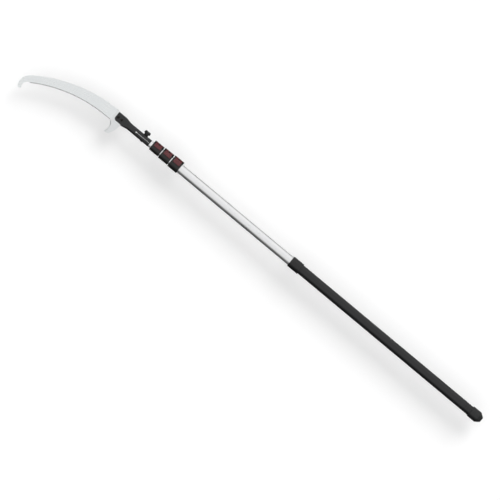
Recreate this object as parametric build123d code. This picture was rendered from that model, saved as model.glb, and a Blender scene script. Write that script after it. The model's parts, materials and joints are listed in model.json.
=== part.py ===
from build123d import *

import os
from math import cos, radians, sin

# Telescoping pole saw, collapsed and lying flat. Millimetres.
# The origin is the middle of the end cap's flat butt face. +X runs along the pole towards the blade,
# +Y is the toothed side of the blade, -Y is the side of the clamp ears and the knob, and +Z is square
# to the blade. Four oval tubes nest in each other, and stage 0 is the slim top tube, stage 3 the outer.

# --- Pole tubes ---
OUTER_TUBE_LENGTH = 1722.0
FOOT_ROOM = 207.0  # from the outer tube's butt end to the third tube's foot when collapsed
TUBE_OVERLAP = 250.0  # what stays inside the next tube at full reach
TOP_TUBE_WIDTH = 28.8
TUBE_FLAT = 10.0  # every oval is this much wider (Y) than it is high (Z)
TUBE_WALL = 1.5
TUBE_GAP = 0.7  # between a tube's outside and the inside of the next one
TUBE_NAMES = ["top", "second", "third", "outer"]

# --- Guide bushes, two on each inner tube ---
BUSH_LENGTH = 30.0
BUSH_CLEARANCE = 0.15  # a side, to the tube that the bush slides in
BUSH_PEG_RADIUS = 2.5

# --- Clamp collars ---
COLLAR_LENGTH = 50.0
COLLAR_SEAT = 26.0  # how far a tube's mouth stands inside its collar
COLLAR_GAP = 4.0  # bare tube between two collars when collapsed
COLLAR_WALL = 5.0
COLLAR_LIP = 2.0
COLLAR_CHAMFER = 0.8
COLLAR_NAMES = ["upper", "middle", "lower"]
LINER_CLEARANCE = 0.2  # a side, to the tube that slides in the liner
SEAT_CLEARANCE = 0.05  # a side, between pieces that stay together
LIP_CLEARANCE = 0.6
SLIT = 2.5  # the gap that the lever closes

# --- Clamp lever, its pin and its eye bolt ---
PIN_RADIUS = 1.75
PIN_CLEARANCE = 0.05
PIN_OFFSET = 2.6  # from the collar's side out to the pin
PIN_HEIGHT = 9.0
BOSS_RADIUS = 4.0
EAR_DEPTH = 7.0  # the rear ear's underside, below the pole's axis
CAM_CLEARANCE = 0.1
CAM_RELIEF = 0.6  # how far the cam's flat lies inside the round boss
CAM_FLAT_ANGLE = 155.0
KNUCKLE_LENGTH = 7.0
KNUCKLE_GAP = 0.3
LEVER_THICKNESS = 3.0
LEVER_CLEARANCE = 0.4
LEVER_TIP_Y = -4.0
LEVER_LIP_RADIUS = 2.2
EYE_RADIUS = 3.8
EYE_WIDTH = 5.0
EYE_SLOT = 6.0
EYE_SHANK_RADIUS = 2.0
EYE_HOLE_RADIUS = 2.15
CLAMP_NUT_SIZE = 7.0
CLAMP_NUT_HEIGHT = 3.6

# --- Rivets that fix a collar to its tube ---
RIVET_RADIUS = 1.6
RIVET_HEAD_RADIUS = 3.0
RIVET_HEAD_HEIGHT = 1.3
RIVET_RECESS = 1.5
RIVET_CLEARANCE = 0.05
RIVET_SETBACK = 13.0  # from the collar's lower end
RIVET_TIP = 0.2  # short of the tube's inside face

# --- Grip and butt end ---
CAP_LENGTH = 62.0
CAP_CHAMFER = 14.0
CAP_CHAMFER_RUN = 20.0
CAP_FLOOR = 2.0  # past the chamfer
PLUG_FLANGE = 2.0
PLUG_LENGTH = 40.0
PLUG_WALL = 3.0
GRIP_END = 1030.0
GRIP_THICKNESS = 1.3
GRIP_GROOVES = [73.5, 85.0, 96.5]
GRIP_GROOVE_WIDTH = 3.0
GRIP_GROOVE_DEPTH = 0.7
GRIP_RING_LENGTH = 57.0
GRIP_RING_FILLET = 4.5
GRIP_RING_EDGE = 3.0
GRIP_RING_LAP = 14.0  # how far the ring laps the sleeve's end

# --- Blade holder: an oval tube that is pressed flat at the blade end ---
STUB = 12.0  # bare top tube between the upper collar and the holder
HOLDER_WALL = 1.8
HOLDER_CLEARANCE = 0.1
HOLDER_TUBE_LENGTH = 114.0
HOLDER_PRESS_LENGTH = 38.0
HOLDER_FLAT_LENGTH = 39.0
HOLDER_FLAT_WIDTH = 44.0
HOLDER_SICKLE_SIDE = 18.8  # where the pressed end is cut open for the sickle
HOLDER_CORNER = 8.0
HOLDER_SLIT = 2.5
HOLDER_SLIT_LENGTH = 77.0
HOLDER_SLIT_END_RADIUS = 3.0
TOP_TUBE_INSERT = 88.0
CORE_LENGTH = 74.0

# --- Thumb knob and its clamp bolt ---
KNOB_SETBACK = 37.0  # from the holder's mouth
BOLT_RADIUS = 4.0
BOLT_HOLE_RADIUS = 4.1
BOLT_HEAD_RADIUS = 5.5
BOLT_HEAD_HEIGHT = 2.4
BOLT_TAIL = 2.8  # past the knob's insert
SADDLE_RADIUS = 10.0
SADDLE_CREST = 1.5
KNOB_WASHER_RADIUS = 9.5
KNOB_WASHER_THICKNESS = 1.4
KNOB_HEIGHT = 17.6
KNOB_NECK_RADIUS = 10.5
KNOB_NECK_HEIGHT = 4.0
KNOB_RADIUS = 16.0
KNOB_TOP_RADIUS = 12.5
KNOB_FLARE = 2.0
KNOB_LOBES = 7
KNOB_SCALLOP_RADIUS = 4.0
KNOB_EDGE = 1.5
INSERT_RADIUS = 6.0
INSERT_HEIGHT = 12.0
INSERT_CLEARANCE = 0.05
TIP_ROOM = 0.4

# --- Blade: two arcs, a row of raked teeth and a hooked nose ---
BLADE_THICKNESS = 2.0
BLADE_GAP = 10.5  # from the holder's end to where the blade has its full width
SPINE_SIDE = -24.5
SPINE_RADIUS = 655.0
SPINE_SWEEP = 37.0
EDGE_SIDE = 32.0
EDGE_RADIUS = 642.0
EDGE_CENTRE_X = 26.5  # from the blade's shoulder to the toothed arc's centre
HEEL_ANGLE = -2.1
TOOTHED_LENGTH = 390.0
TOOTH_PITCH = 6.5
TOOTH_DEPTH = 4.0
TOOTH_LEAN = 0.3  # the tooth's point, as a share of the pitch from its rear root
TANG_LENGTH = 43.0
TANG_CLEARANCE = 0.45
TANG_STEP = 2.0  # how much narrower the tang is on the toothed side

# --- Sickle at the blade's foot ---
SICKLE_THICKNESS = 2.5
SICKLE_REACH = 52.5  # from the toothed side's foot out to the sickle's point
SICKLE_SPINE_SIDE = -23.2

# --- Blade bolts ---
BLADE_BOLT_RADIUS = 3.0
BLADE_BOLT_HOLE = 3.15
BLADE_BOLT_HEAD_RADIUS = 5.3
BLADE_BOLT_HEAD_HEIGHT = 3.2
BLADE_BOLT_SOCKET = 2.0
BLADE_BOLT_SETBACKS = [12.0, 31.0]  # from the holder's blade end
BLADE_NUT_SIZE = 10.0
BLADE_NUT_HEIGHT = 4.6
BLADE_BOLT_TAIL = 1.0
WASHER_RADIUS = 6.2
WASHER_THICKNESS = 1.2

# --- Where things stand along the pole ---
CAP_CAVITY = CAP_CHAMFER_RUN + CAP_FLOOR
OUTER_TUBE_START = CAP_CAVITY + PLUG_FLANGE
OUTER_TUBE_END = OUTER_TUBE_START + OUTER_TUBE_LENGTH
COLLAR_STEP = COLLAR_LENGTH + COLLAR_GAP
collar_start = [OUTER_TUBE_END - COLLAR_SEAT + (2 - stage) * COLLAR_STEP for stage in range(3)]
collar_end = [start + COLLAR_LENGTH for start in collar_start]
tube_mouth = [start + COLLAR_SEAT for start in collar_start]
TRAVEL = OUTER_TUBE_LENGTH - FOOT_ROOM - TUBE_OVERLAP  # how far each inner tube slides out
stop_face = [mouth - TRAVEL for mouth in tube_mouth]
HOLDER_START = collar_end[0] + STUB
HOLDER_PRESS_START = HOLDER_START + HOLDER_TUBE_LENGTH
HOLDER_FLAT_START = HOLDER_PRESS_START + HOLDER_PRESS_LENGTH
HOLDER_END = HOLDER_FLAT_START + HOLDER_FLAT_LENGTH
SHOULDER_X = HOLDER_END + BLADE_GAP
KNOB_X = HOLDER_START + KNOB_SETBACK
tube_start = [face - TUBE_OVERLAP for face in stop_face] + [OUTER_TUBE_START]
tube_end = [HOLDER_START + TOP_TUBE_INSERT] + tube_mouth
tube_width = [TOP_TUBE_WIDTH + 2 * stage * (TUBE_WALL + TUBE_GAP) for stage in range(4)]
BUTT_PIECE_WIDTH = tube_width[3] + 2 * COLLAR_WALL  # the cap and the grip ring match the lower collar
HOLDER_WIDTH = TOP_TUBE_WIDTH + 2 * (HOLDER_CLEARANCE + HOLDER_WALL)
HOLDER_SIDE = HOLDER_WIDTH / 2
BLADE_STACK = BLADE_THICKNESS + SICKLE_THICKNESS
HOLDER_FLAT_HEIGHT = BLADE_STACK + 2 * HOLDER_WALL
BLADE_TOP = BLADE_THICKNESS - BLADE_STACK / 2
TANG_SIDE = HOLDER_FLAT_WIDTH / 2 - HOLDER_WALL - BLADE_STACK / 2 - TANG_CLEARANCE
TANG_LOWER = TANG_SIDE - TANG_STEP
KNOB_FACE = HOLDER_SIDE + SADDLE_CREST + KNOB_WASHER_THICKNESS
SADDLE_FACE = HOLDER_SIDE + SADDLE_CREST
BOLT_END = KNOB_FACE + INSERT_HEIGHT + BOLT_TAIL


def oval_bar(width, start, end):
    """A solid bar of oval section along X, width across Y."""
    return Plane.YZ.offset(start) * extrude(SlotOverall(width, width - TUBE_FLAT), amount=end - start)


def oval_tube(width, wall, start, end):
    """An oval tube along X."""
    return oval_bar(width, start, end) - oval_bar(width - 2 * wall, start, end)


def block(x, y, z):
    """A box from three pairs of limits."""
    centre = (sum(x) / 2, sum(y) / 2, sum(z) / 2)
    return Pos(*centre) * Box(x[1] - x[0], y[1] - y[0], z[1] - z[0])


def rod_x(radius, start, end, y, z):
    """A round rod along X."""
    return Pos((start + end) / 2, y, z) * Rot(0, 90, 0) * Cylinder(radius, end - start)


def rod_y(radius, start, end, x, z=0.0):
    """A round rod along Y."""
    return Pos(x, (start + end) / 2, z) * Rot(90, 0, 0) * Cylinder(radius, end - start)


def rod_z(radius, start, end, x, y):
    """A round rod along Z."""
    return Pos(x, y, (start + end) / 2) * Cylinder(radius, end - start)


def plate(edges, bottom, thickness):
    """A flat plate parallel to XY from the edges of its closed outline."""
    face = make_face(Curve() + edges)
    return extrude(Pos(0, 0, bottom) * face, amount=thickness, dir=(0, 0, 1))


def both_faces(shape):
    """A shape on +Z and its mirror image on -Z."""
    return [shape, mirror(shape, Plane.XY)]


# --- Tubes and bushes ---


def bush_places(stage):
    """The two stretches of an inner tube that carry a guide bush."""
    low = tube_start[stage]
    high = stop_face[stage]
    return [(low, low + BUSH_LENGTH), (high - BUSH_LENGTH, high)]


def peg_x(place):
    """The middle of a bush, where its two pegs are."""
    return sum(place) / 2


def rivet_x(collar):
    """Where a collar's two rivets stand along the pole."""
    return collar_start[collar] + RIVET_SETBACK


def pole_tube(stage):
    """One oval pole tube with its peg, rivet and clamp bolt holes."""
    width = tube_width[stage]
    height = width - TUBE_FLAT
    shape = oval_tube(width, TUBE_WALL, tube_start[stage], tube_end[stage])
    if stage < 3:
        for place in bush_places(stage):
            shape -= rod_z(BUSH_PEG_RADIUS, -height, height, peg_x(place), 0)
    if stage > 0:
        shape -= rod_z(RIVET_RADIUS + RIVET_CLEARANCE, -height, height, rivet_x(stage - 1), 0)
    if stage == 0:
        shape -= rod_y(BOLT_HOLE_RADIUS, -width, width, KNOB_X)
    return shape


def guide_bush(stage, place):
    """A thin nylon sleeve with two pegs that key it to its tube."""
    bore = tube_width[stage]
    outside = tube_width[stage + 1] - 2 * TUBE_WALL - 2 * BUSH_CLEARANCE
    shape = oval_bar(outside, *place) - oval_bar(bore, *place)
    skin = (bore - TUBE_FLAT) / 2
    peg = rod_z(BUSH_PEG_RADIUS, skin - TUBE_WALL, skin + TUBE_GAP / 2, peg_x(place), 0)
    for side in both_faces(peg):
        shape += side
    return shape


def guide_bushes(stage):
    """The lower and the upper bush of one inner tube, as two solids."""
    return Compound(children=[guide_bush(stage, place) for place in bush_places(stage)])


# --- Clamp collars ---


def shell_width(collar):
    """A collar's width over its oval shell."""
    return tube_width[collar + 1] + 2 * COLLAR_WALL


def shell_radius(collar):
    """The radius of the shell's round side, which is half its height."""
    return (shell_width(collar) - TUBE_FLAT) / 2


def pin_y(collar):
    """How far out on -Y a collar's lever pin stands."""
    return -(shell_width(collar) / 2 + PIN_OFFSET)


def lever_span(collar):
    """The stretch along X between a collar's two knuckles."""
    start = collar_start[collar] + KNUCKLE_LENGTH
    end = collar_end[collar] - KNUCKLE_LENGTH
    return start, end


def eye_x(collar):
    """The middle of a collar, where its eye bolt stands."""
    return (collar_start[collar] + collar_end[collar]) / 2


def collar_shell(collar):
    """A split oval collar with two ears and two knuckles for the lever's pin."""
    start, end = collar_start[collar], collar_end[collar]
    lever_start, lever_end = lever_span(collar)
    y = pin_y(collar)
    inner_y = y + PIN_OFFSET + COLLAR_WALL
    shape = oval_bar(shell_width(collar), start, end)
    shape = chamfer(shape.edges().filter_by(Axis.X, reverse=True), COLLAR_CHAMFER)
    ear_top = PIN_HEIGHT - BOSS_RADIUS - CAM_CLEARANCE
    shape += block((start, end), (y - BOSS_RADIUS, inner_y), (-EAR_DEPTH, ear_top))
    for knuckle in [(start, lever_start), (lever_end, end)]:
        shape += block(knuckle, (y - BOSS_RADIUS, inner_y), (0, PIN_HEIGHT))
        shape += rod_x(BOSS_RADIUS, *knuckle, y, PIN_HEIGHT)
    shape -= oval_bar(tube_width[collar + 1] + 2 * SEAT_CLEARANCE, start, end - COLLAR_LIP)
    shape -= oval_bar(tube_width[collar] + 2 * LIP_CLEARANCE, start, end)
    shape -= block((start, end), (y - 2 * BOSS_RADIUS, 0), (-SLIT / 2, SLIT / 2))
    shape -= rod_x(PIN_RADIUS + PIN_CLEARANCE, start, end, y, PIN_HEIGHT)
    shape -= rod_z(EYE_HOLE_RADIUS, -2 * EAR_DEPTH, PIN_HEIGHT, eye_x(collar), y)
    for recess in both_faces(rivet_space(collar)):
        shape -= recess
    return shape


def rivet_space(collar):
    """The stepped hole that one of a collar's rivets fills, on the +Z side."""
    top = shell_radius(collar)
    hole = rod_z(RIVET_RADIUS + RIVET_CLEARANCE, 0, top, rivet_x(collar), 0)
    recess = rod_z(RIVET_HEAD_RADIUS + RIVET_CLEARANCE, top - RIVET_RECESS, top + 1, rivet_x(collar), 0)
    return hole + recess


def collar_rivets(collar):
    """The two flush rivets that fix a collar to its tube."""
    seat = shell_radius(collar) - RIVET_RECESS
    tip = (tube_width[collar + 1] - TUBE_FLAT) / 2 - TUBE_WALL + RIVET_TIP
    head = rod_z(RIVET_HEAD_RADIUS, seat, seat + RIVET_HEAD_HEIGHT, rivet_x(collar), 0)
    rivet = head + rod_z(RIVET_RADIUS, tip, seat, rivet_x(collar), 0)
    return Compound(children=both_faces(rivet))


def collar_liner(collar):
    """The split nylon liner that grips the sliding tube."""
    start, end = tube_mouth[collar], collar_end[collar] - COLLAR_LIP
    shape = oval_bar(tube_width[collar + 1], start, end)
    shape -= oval_bar(tube_width[collar] + 2 * LINER_CLEARANCE, start, end)
    return shape - block((start, end), (-tube_width[collar + 1], 0), (-SLIT / 2, SLIT / 2))


def lever_pin(collar):
    """The pin that the lever and the eye bolt turn on."""
    return rod_x(PIN_RADIUS, collar_start[collar] + 1, collar_end[collar] - 1, pin_y(collar), PIN_HEIGHT)


def eye_bolt(collar):
    """The bolt that draws the two ears together, with its eye on the pin."""
    x, y = eye_x(collar), pin_y(collar)
    tail = EAR_DEPTH + CLAMP_NUT_HEIGHT + 1
    shape = rod_x(EYE_RADIUS, x - EYE_WIDTH / 2, x + EYE_WIDTH / 2, y, PIN_HEIGHT)
    shape += rod_z(EYE_SHANK_RADIUS, -tail, PIN_HEIGHT - PIN_RADIUS, x, y)
    return shape - rod_x(PIN_RADIUS + PIN_CLEARANCE, x - EYE_WIDTH, x + EYE_WIDTH, y, PIN_HEIGHT)


def hex_nut(size, height, bore, x, y, top):
    """A hexagon nut with its upper face at top."""
    outline = RegularPolygon(size / 2, 6, major_radius=False) - Circle(bore)
    return Pos(x, y, top - height) * extrude(outline, amount=height)


def clamp_nut(collar):
    """The lock nut under the rear ear."""
    return hex_nut(CLAMP_NUT_SIZE, CLAMP_NUT_HEIGHT, EYE_SHANK_RADIUS, eye_x(collar), pin_y(collar), -EAR_DEPTH)


def cam_flat(collar, start, end):
    """What the cam's flat takes off the round boss."""
    angle = radians(CAM_FLAT_ANGLE)
    depth = 2 * BOSS_RADIUS
    reach = BOSS_RADIUS - CAM_RELIEF + depth / 2
    centre = Pos((start + end) / 2, pin_y(collar) + reach * cos(angle), PIN_HEIGHT + reach * sin(angle))
    return centre * Rot(CAM_FLAT_ANGLE, 0, 0) * Box(end - start, depth, depth)


def clamp_lever(collar):
    """A cam lever that hugs the collar's front, from its forked boss to its finger lip."""
    y = pin_y(collar)
    start, end = lever_span(collar)
    start, end = start + KNUCKLE_GAP, end - KNUCKLE_GAP
    inner = shell_radius(collar) + LEVER_CLEARANCE
    outer = inner + LEVER_THICKNESS
    arc_y = -TUBE_FLAT / 2
    boss = rod_x(BOSS_RADIUS, start, end, y, PIN_HEIGHT)
    boss -= cam_flat(collar, start, end)
    arc = rod_x(outer, start, end, arc_y, 0) - rod_x(inner, start, end, arc_y, 0)
    arc &= block((start, end), (y - outer, LEVER_TIP_Y), (PIN_HEIGHT, 2 * outer))
    lip_y = LEVER_TIP_Y - LEVER_LIP_RADIUS
    lip = rod_x(LEVER_LIP_RADIUS, start, end, lip_y, inner + LEVER_LIP_RADIUS)
    shape = boss + arc + lip
    shape -= rod_x(PIN_RADIUS + PIN_CLEARANCE, start, end, y, PIN_HEIGHT)
    middle = eye_x(collar)
    fork = rod_x(BOSS_RADIUS + KNUCKLE_GAP, middle - EYE_SLOT / 2, middle + EYE_SLOT / 2, y, PIN_HEIGHT)
    return shape - fork


# --- Grip and butt end ---


def end_cap():
    """The rubber cap over the butt of the outer tube, with a flat face to stand on."""
    shape = oval_bar(BUTT_PIECE_WIDTH, 0, CAP_LENGTH)
    rear = shape.edges().filter_by(Axis.X, reverse=True).group_by(Axis.X)[0]
    butt_face = shape.faces().sort_by(Axis.X)[0]
    shape = chamfer(rear, CAP_CHAMFER, CAP_CHAMFER_RUN, reference=butt_face)
    shape = fillet(shape.edges().filter_by(Axis.X, reverse=True).group_by(Axis.X)[-1], GRIP_RING_EDGE)
    return shape - oval_bar(tube_width[3], CAP_CAVITY, CAP_LENGTH)


def end_plug():
    """The hollow plug that closes the butt of the outer tube under the cap."""
    bore = tube_width[3] - 2 * TUBE_WALL - 2 * SEAT_CLEARANCE
    shape = oval_bar(tube_width[3], CAP_CAVITY, OUTER_TUBE_START)
    shape += oval_tube(bore, PLUG_WALL, OUTER_TUBE_START, OUTER_TUBE_START + PLUG_LENGTH)
    return shape


def grip_sleeve():
    """The long rubber sleeve with its three grooves near the butt."""
    width = tube_width[3] + 2 * GRIP_THICKNESS
    shape = oval_tube(width, GRIP_THICKNESS, CAP_LENGTH, GRIP_END + GRIP_RING_LAP)
    for x in GRIP_GROOVES:
        half = GRIP_GROOVE_WIDTH / 2
        shape -= oval_tube(width, GRIP_GROOVE_DEPTH, x - half, x + half)
    return shape


def grip_ring():
    """The rounded ring over the sleeve's upper end."""
    end = GRIP_END + GRIP_RING_LENGTH
    lap_end = GRIP_END + GRIP_RING_LAP
    shape = oval_bar(BUTT_PIECE_WIDTH, GRIP_END, end)
    rims = shape.edges().filter_by(Axis.X, reverse=True).group_by(Axis.X)
    shape = fillet(rims[-1], min(GRIP_RING_FILLET, COLLAR_WALL - 2 * SEAT_CLEARANCE))
    shape = fillet(shape.edges().filter_by(Axis.X, reverse=True).group_by(Axis.X)[0], GRIP_RING_EDGE)
    shape -= oval_bar(tube_width[3] + 2 * GRIP_THICKNESS + 2 * SEAT_CLEARANCE, GRIP_END, lap_end)
    return shape - oval_bar(tube_width[3] + 2 * SEAT_CLEARANCE, GRIP_END, end)


# --- Blade holder and its clamp ---


def pressed_loft(widths, heights):
    """The stretch of the holder where the oval is pressed flat."""
    first = Plane.YZ.offset(HOLDER_PRESS_START) * SlotOverall(widths[0], heights[0])
    last = Plane.YZ.offset(HOLDER_FLAT_START) * SlotOverall(widths[1], heights[1])
    return loft([first, last])


def flat_bar(width, height, start, end):
    """An oval bar along X with its own height."""
    return Plane.YZ.offset(start) * extrude(SlotOverall(width, height), amount=end - start)


def blade_holder():
    """The black steel socket: slit and clamped on the top tube, pressed flat over the blade."""
    wall = 2 * HOLDER_WALL
    height = HOLDER_WIDTH - TUBE_FLAT
    flat = HOLDER_FLAT_WIDTH, HOLDER_FLAT_HEIGHT
    outside = oval_bar(HOLDER_WIDTH, HOLDER_START, HOLDER_PRESS_START)
    outside += pressed_loft((HOLDER_WIDTH, flat[0]), (height, flat[1]))
    outside += flat_bar(*flat, HOLDER_FLAT_START, HOLDER_END)
    inside = oval_bar(HOLDER_WIDTH - wall, HOLDER_START, HOLDER_PRESS_START)
    inside += pressed_loft((HOLDER_WIDTH - wall, flat[0] - wall), (height - wall, flat[1] - wall))
    inside += flat_bar(flat[0] - wall, flat[1] - wall, HOLDER_FLAT_START, HOLDER_END)
    shape = outside - inside
    deep = HOLDER_WIDTH
    shape -= block((HOLDER_FLAT_START, HOLDER_END), (HOLDER_SICKLE_SIDE, deep), (-deep, deep))
    mouth = (HOLDER_SICKLE_SIDE - TUBE_FLAT, deep)
    shape -= block((HOLDER_FLAT_START, HOLDER_END), mouth, (-BLADE_STACK / 2, BLADE_STACK / 2))
    corner = Pos(HOLDER_END, HOLDER_SICKLE_SIDE, 0) * Rot(0, 0, 45)
    side = HOLDER_CORNER * 2 * cos(radians(45))
    shape -= corner * Box(side / 2, side, deep)
    slit_end = HOLDER_START + HOLDER_SLIT_LENGTH
    shape -= block((HOLDER_START, slit_end), (-HOLDER_SLIT / 2, HOLDER_SLIT / 2), (-deep, deep))
    shape -= rod_z(HOLDER_SLIT_END_RADIUS, -deep, deep, slit_end, 0)
    shape -= rod_y(BOLT_HOLE_RADIUS, -deep, deep, KNOB_X)
    for x in blade_bolt_xs():
        shape -= rod_z(BLADE_BOLT_HOLE, -deep, deep, x, 0)
    return shape


def top_tube_core():
    """The nylon core that keeps the top tube from being crushed under the clamp bolt."""
    bore = TOP_TUBE_WIDTH - 2 * TUBE_WALL - 2 * SEAT_CLEARANCE
    end = tube_end[0]
    shape = oval_bar(bore, end - CORE_LENGTH, end)
    return shape - rod_y(BOLT_HOLE_RADIUS, -bore, bore, KNOB_X)


def holder_outline():
    """A solid bar of the holder's section, to shape what sits on it."""
    return oval_bar(HOLDER_WIDTH, HOLDER_START, HOLDER_PRESS_START)


def clamp_bolt():
    """The bolt through the holder, with its head shaped to the oval."""
    base = HOLDER_SIDE - BOLT_HEAD_HEIGHT
    head = rod_y(BOLT_HEAD_RADIUS, base, HOLDER_SIDE + BOLT_HEAD_HEIGHT, KNOB_X) - holder_outline()
    return head + rod_y(BOLT_RADIUS, -BOLT_END, HOLDER_SIDE + BOLT_HEAD_HEIGHT, KNOB_X)


def knob_saddle():
    """The saddle that gives the knob a flat seat on the round side of the holder."""
    base = HOLDER_SIDE - BOLT_HEAD_HEIGHT
    shape = rod_y(SADDLE_RADIUS, -SADDLE_FACE, -base, KNOB_X) - holder_outline()
    return shape - rod_y(BOLT_HOLE_RADIUS, -BOLT_END, 0, KNOB_X)


def knob_washer():
    """The washer that moves in and out with the knob."""
    shape = rod_y(KNOB_WASHER_RADIUS, -KNOB_FACE, -SADDLE_FACE, KNOB_X)
    return shape - rod_y(BOLT_HOLE_RADIUS, -BOLT_END, 0, KNOB_X)


def knob_insert():
    """The threaded brass insert in the knob."""
    shape = rod_y(INSERT_RADIUS, -KNOB_FACE - INSERT_HEIGHT, -KNOB_FACE, KNOB_X)
    return shape - rod_y(BOLT_RADIUS + INSERT_CLEARANCE, -BOLT_END, 0, KNOB_X)


def thumb_knob():
    """The lobed thumb knob: a round neck under a tapered head with scallops."""
    shoulder = KNOB_NECK_HEIGHT + KNOB_FLARE
    profile = Polyline(
        (0, 0),
        (KNOB_NECK_RADIUS, 0),
        (KNOB_NECK_RADIUS, KNOB_NECK_HEIGHT),
        (KNOB_RADIUS, shoulder),
        (KNOB_TOP_RADIUS, KNOB_HEIGHT),
        (0, KNOB_HEIGHT),
        (0, 0),
    )
    shape = revolve(Plane.XZ * make_face(profile), Axis.Z)
    shape = fillet(shape.edges().filter_by(GeomType.CIRCLE).group_by(Axis.Z)[-1], KNOB_EDGE)
    for lobe in range(KNOB_LOBES):
        cut = Pos(KNOB_RADIUS + KNOB_SCALLOP_RADIUS / 2, 0, KNOB_NECK_HEIGHT + KNOB_HEIGHT / 2)
        shape -= Rot(0, 0, lobe * 360 / KNOB_LOBES) * cut * Cylinder(KNOB_SCALLOP_RADIUS, KNOB_HEIGHT)
    shape = Pos(KNOB_X, -KNOB_FACE, 0) * Rot(90, 0, 0) * shape
    shape -= rod_y(INSERT_RADIUS, -KNOB_FACE - INSERT_HEIGHT, -KNOB_FACE, KNOB_X)
    return shape - rod_y(BOLT_RADIUS + TIP_ROOM, -BOLT_END - TIP_ROOM, -KNOB_FACE, KNOB_X)


# --- Blade and sickle ---


def blade_bolt_xs():
    """Where the two blade bolts stand along the pole."""
    return [HOLDER_END - setback for setback in BLADE_BOLT_SETBACKS]


def on_edge(distance, depth=0.0):
    """A point on the toothed arc, from the heel, or that depth inside the blade."""
    angle = radians(HEEL_ANGLE) + distance / EDGE_RADIUS
    radius = EDGE_RADIUS + depth
    centre = (SHOULDER_X + EDGE_CENTRE_X, EDGE_SIDE + EDGE_RADIUS)
    return (centre[0] + radius * sin(angle), centre[1] - radius * cos(angle))


def on_spine(sweep):
    """A point on the blade's back, that many degrees from the shoulder."""
    angle = radians(sweep)
    centre_y = SPINE_SIDE + SPINE_RADIUS
    return (SHOULDER_X + SPINE_RADIUS * sin(angle), centre_y - SPINE_RADIUS * cos(angle))


def spine_direction(sweep):
    """Which way the blade's back runs, that many degrees from the shoulder."""
    angle = radians(sweep)
    return (cos(angle), sin(angle))


def tooth_line():
    """The zigzag of the teeth, from the heel to the nose."""
    points = [on_edge(0, TOOTH_DEPTH)]
    for tooth in range(round(TOOTHED_LENGTH / TOOTH_PITCH)):
        points.append(on_edge((tooth + TOOTH_LEAN) * TOOTH_PITCH))
        points.append(on_edge((tooth + 1) * TOOTH_PITCH, TOOTH_DEPTH))
    return points


def hook_point(along, across):
    """A point of the nose hook, from where the spine's arc ends."""
    root = on_spine(SPINE_SWEEP)
    return (root[0] + along, root[1] + across)


def blade():
    """The curved saw blade with its tang, its raked teeth and its hooked nose."""
    teeth = tooth_line()
    heel, last = teeth[0], teeth[-1]
    neck_x = HOLDER_END + 1
    tang_x = HOLDER_END - TANG_LENGTH
    shoulder = on_spine(0)
    edges = [
        ThreePointArc(shoulder, on_spine(SPINE_SWEEP / 2), on_spine(SPINE_SWEEP)),
        TangentArc(hook_point(0, 0), hook_point(14, 65), tangent=spine_direction(SPINE_SWEEP)),
        ThreePointArc(hook_point(14, 65), hook_point(5, 71.5), hook_point(-3, 64)),
        ThreePointArc(hook_point(-3, 64), hook_point(1, 48), hook_point(-3, 35)),
        ThreePointArc(hook_point(-3, 35), hook_point(-8, 29), last),
        Polyline(*reversed(teeth)),
        Polyline(
            heel,
            (neck_x, TANG_LOWER),
            (tang_x, TANG_LOWER),
            (tang_x, -TANG_SIDE),
            (neck_x, -TANG_SIDE),
            (neck_x, shoulder[1]),
            shoulder,
        ),
    ]
    shape = plate(edges, -BLADE_STACK / 2, BLADE_THICKNESS)
    for x in blade_bolt_xs():
        shape -= rod_z(BLADE_BOLT_HOLE, -BLADE_STACK, BLADE_STACK, x, 0)
    return shape


def sickle_point(along, across):
    """A point of the sickle, back from the shoulder and out from the blade's foot."""
    return (SHOULDER_X - along, EDGE_SIDE + across)


def sickle():
    """The sickle plate that lies on the blade's foot and hooks out on the toothed side."""
    root_x = HOLDER_FLAT_START + 1
    neck_x = HOLDER_END + 1
    point = sickle_point(11, SICKLE_REACH)
    back = sickle_point(30, SICKLE_REACH - 2.5)
    edges = [
        ThreePointArc(sickle_point(0, 0), sickle_point(16.5, 28), point),
        ThreePointArc(point, sickle_point(17, SICKLE_REACH + 1.5), back),
        ThreePointArc(back, sickle_point(43, 28), (root_x, TANG_LOWER)),
        Polyline(
            (root_x, TANG_LOWER),
            (root_x, -TANG_SIDE),
            (neck_x, -TANG_SIDE),
            (neck_x, SICKLE_SPINE_SIDE),
            (SHOULDER_X, SICKLE_SPINE_SIDE),
            sickle_point(0, 0),
        ),
    ]
    shape = plate(edges, BLADE_TOP, SICKLE_THICKNESS)
    for x in blade_bolt_xs():
        shape -= rod_z(BLADE_BOLT_HOLE, -BLADE_STACK, BLADE_STACK, x, 0)
    return shape


def blade_bolt(x):
    """A button head bolt with a hexagon socket."""
    seat = HOLDER_FLAT_HEIGHT / 2 + WASHER_THICKNESS
    tail = seat + BLADE_NUT_HEIGHT + BLADE_BOLT_TAIL
    head = rod_z(BLADE_BOLT_HEAD_RADIUS, seat, seat + BLADE_BOLT_HEAD_HEIGHT, x, 0)
    head = fillet(head.edges().group_by(Axis.Z)[-1], BLADE_BOLT_HEAD_HEIGHT / 2)
    socket = extrude(RegularPolygon(BLADE_BOLT_SOCKET, 6), amount=BLADE_BOLT_HEAD_HEIGHT)
    head -= Pos(x, 0, seat + BLADE_BOLT_HEAD_HEIGHT / 2) * socket
    return head + rod_z(BLADE_BOLT_RADIUS, -tail, seat, x, 0)


def blade_washer(x):
    """A plain washer on the holder's +Z face."""
    seat = HOLDER_FLAT_HEIGHT / 2
    ring = rod_z(WASHER_RADIUS, seat, seat + WASHER_THICKNESS, x, 0)
    return ring - rod_z(BLADE_BOLT_HOLE, seat, seat + WASHER_THICKNESS, x, 0)


def blade_nut(x):
    """The lock nut on a blade bolt's tail."""
    top = -HOLDER_FLAT_HEIGHT / 2 - WASHER_THICKNESS
    return hex_nut(BLADE_NUT_SIZE, BLADE_NUT_HEIGHT, BLADE_BOLT_RADIUS, x, 0, top)


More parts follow.
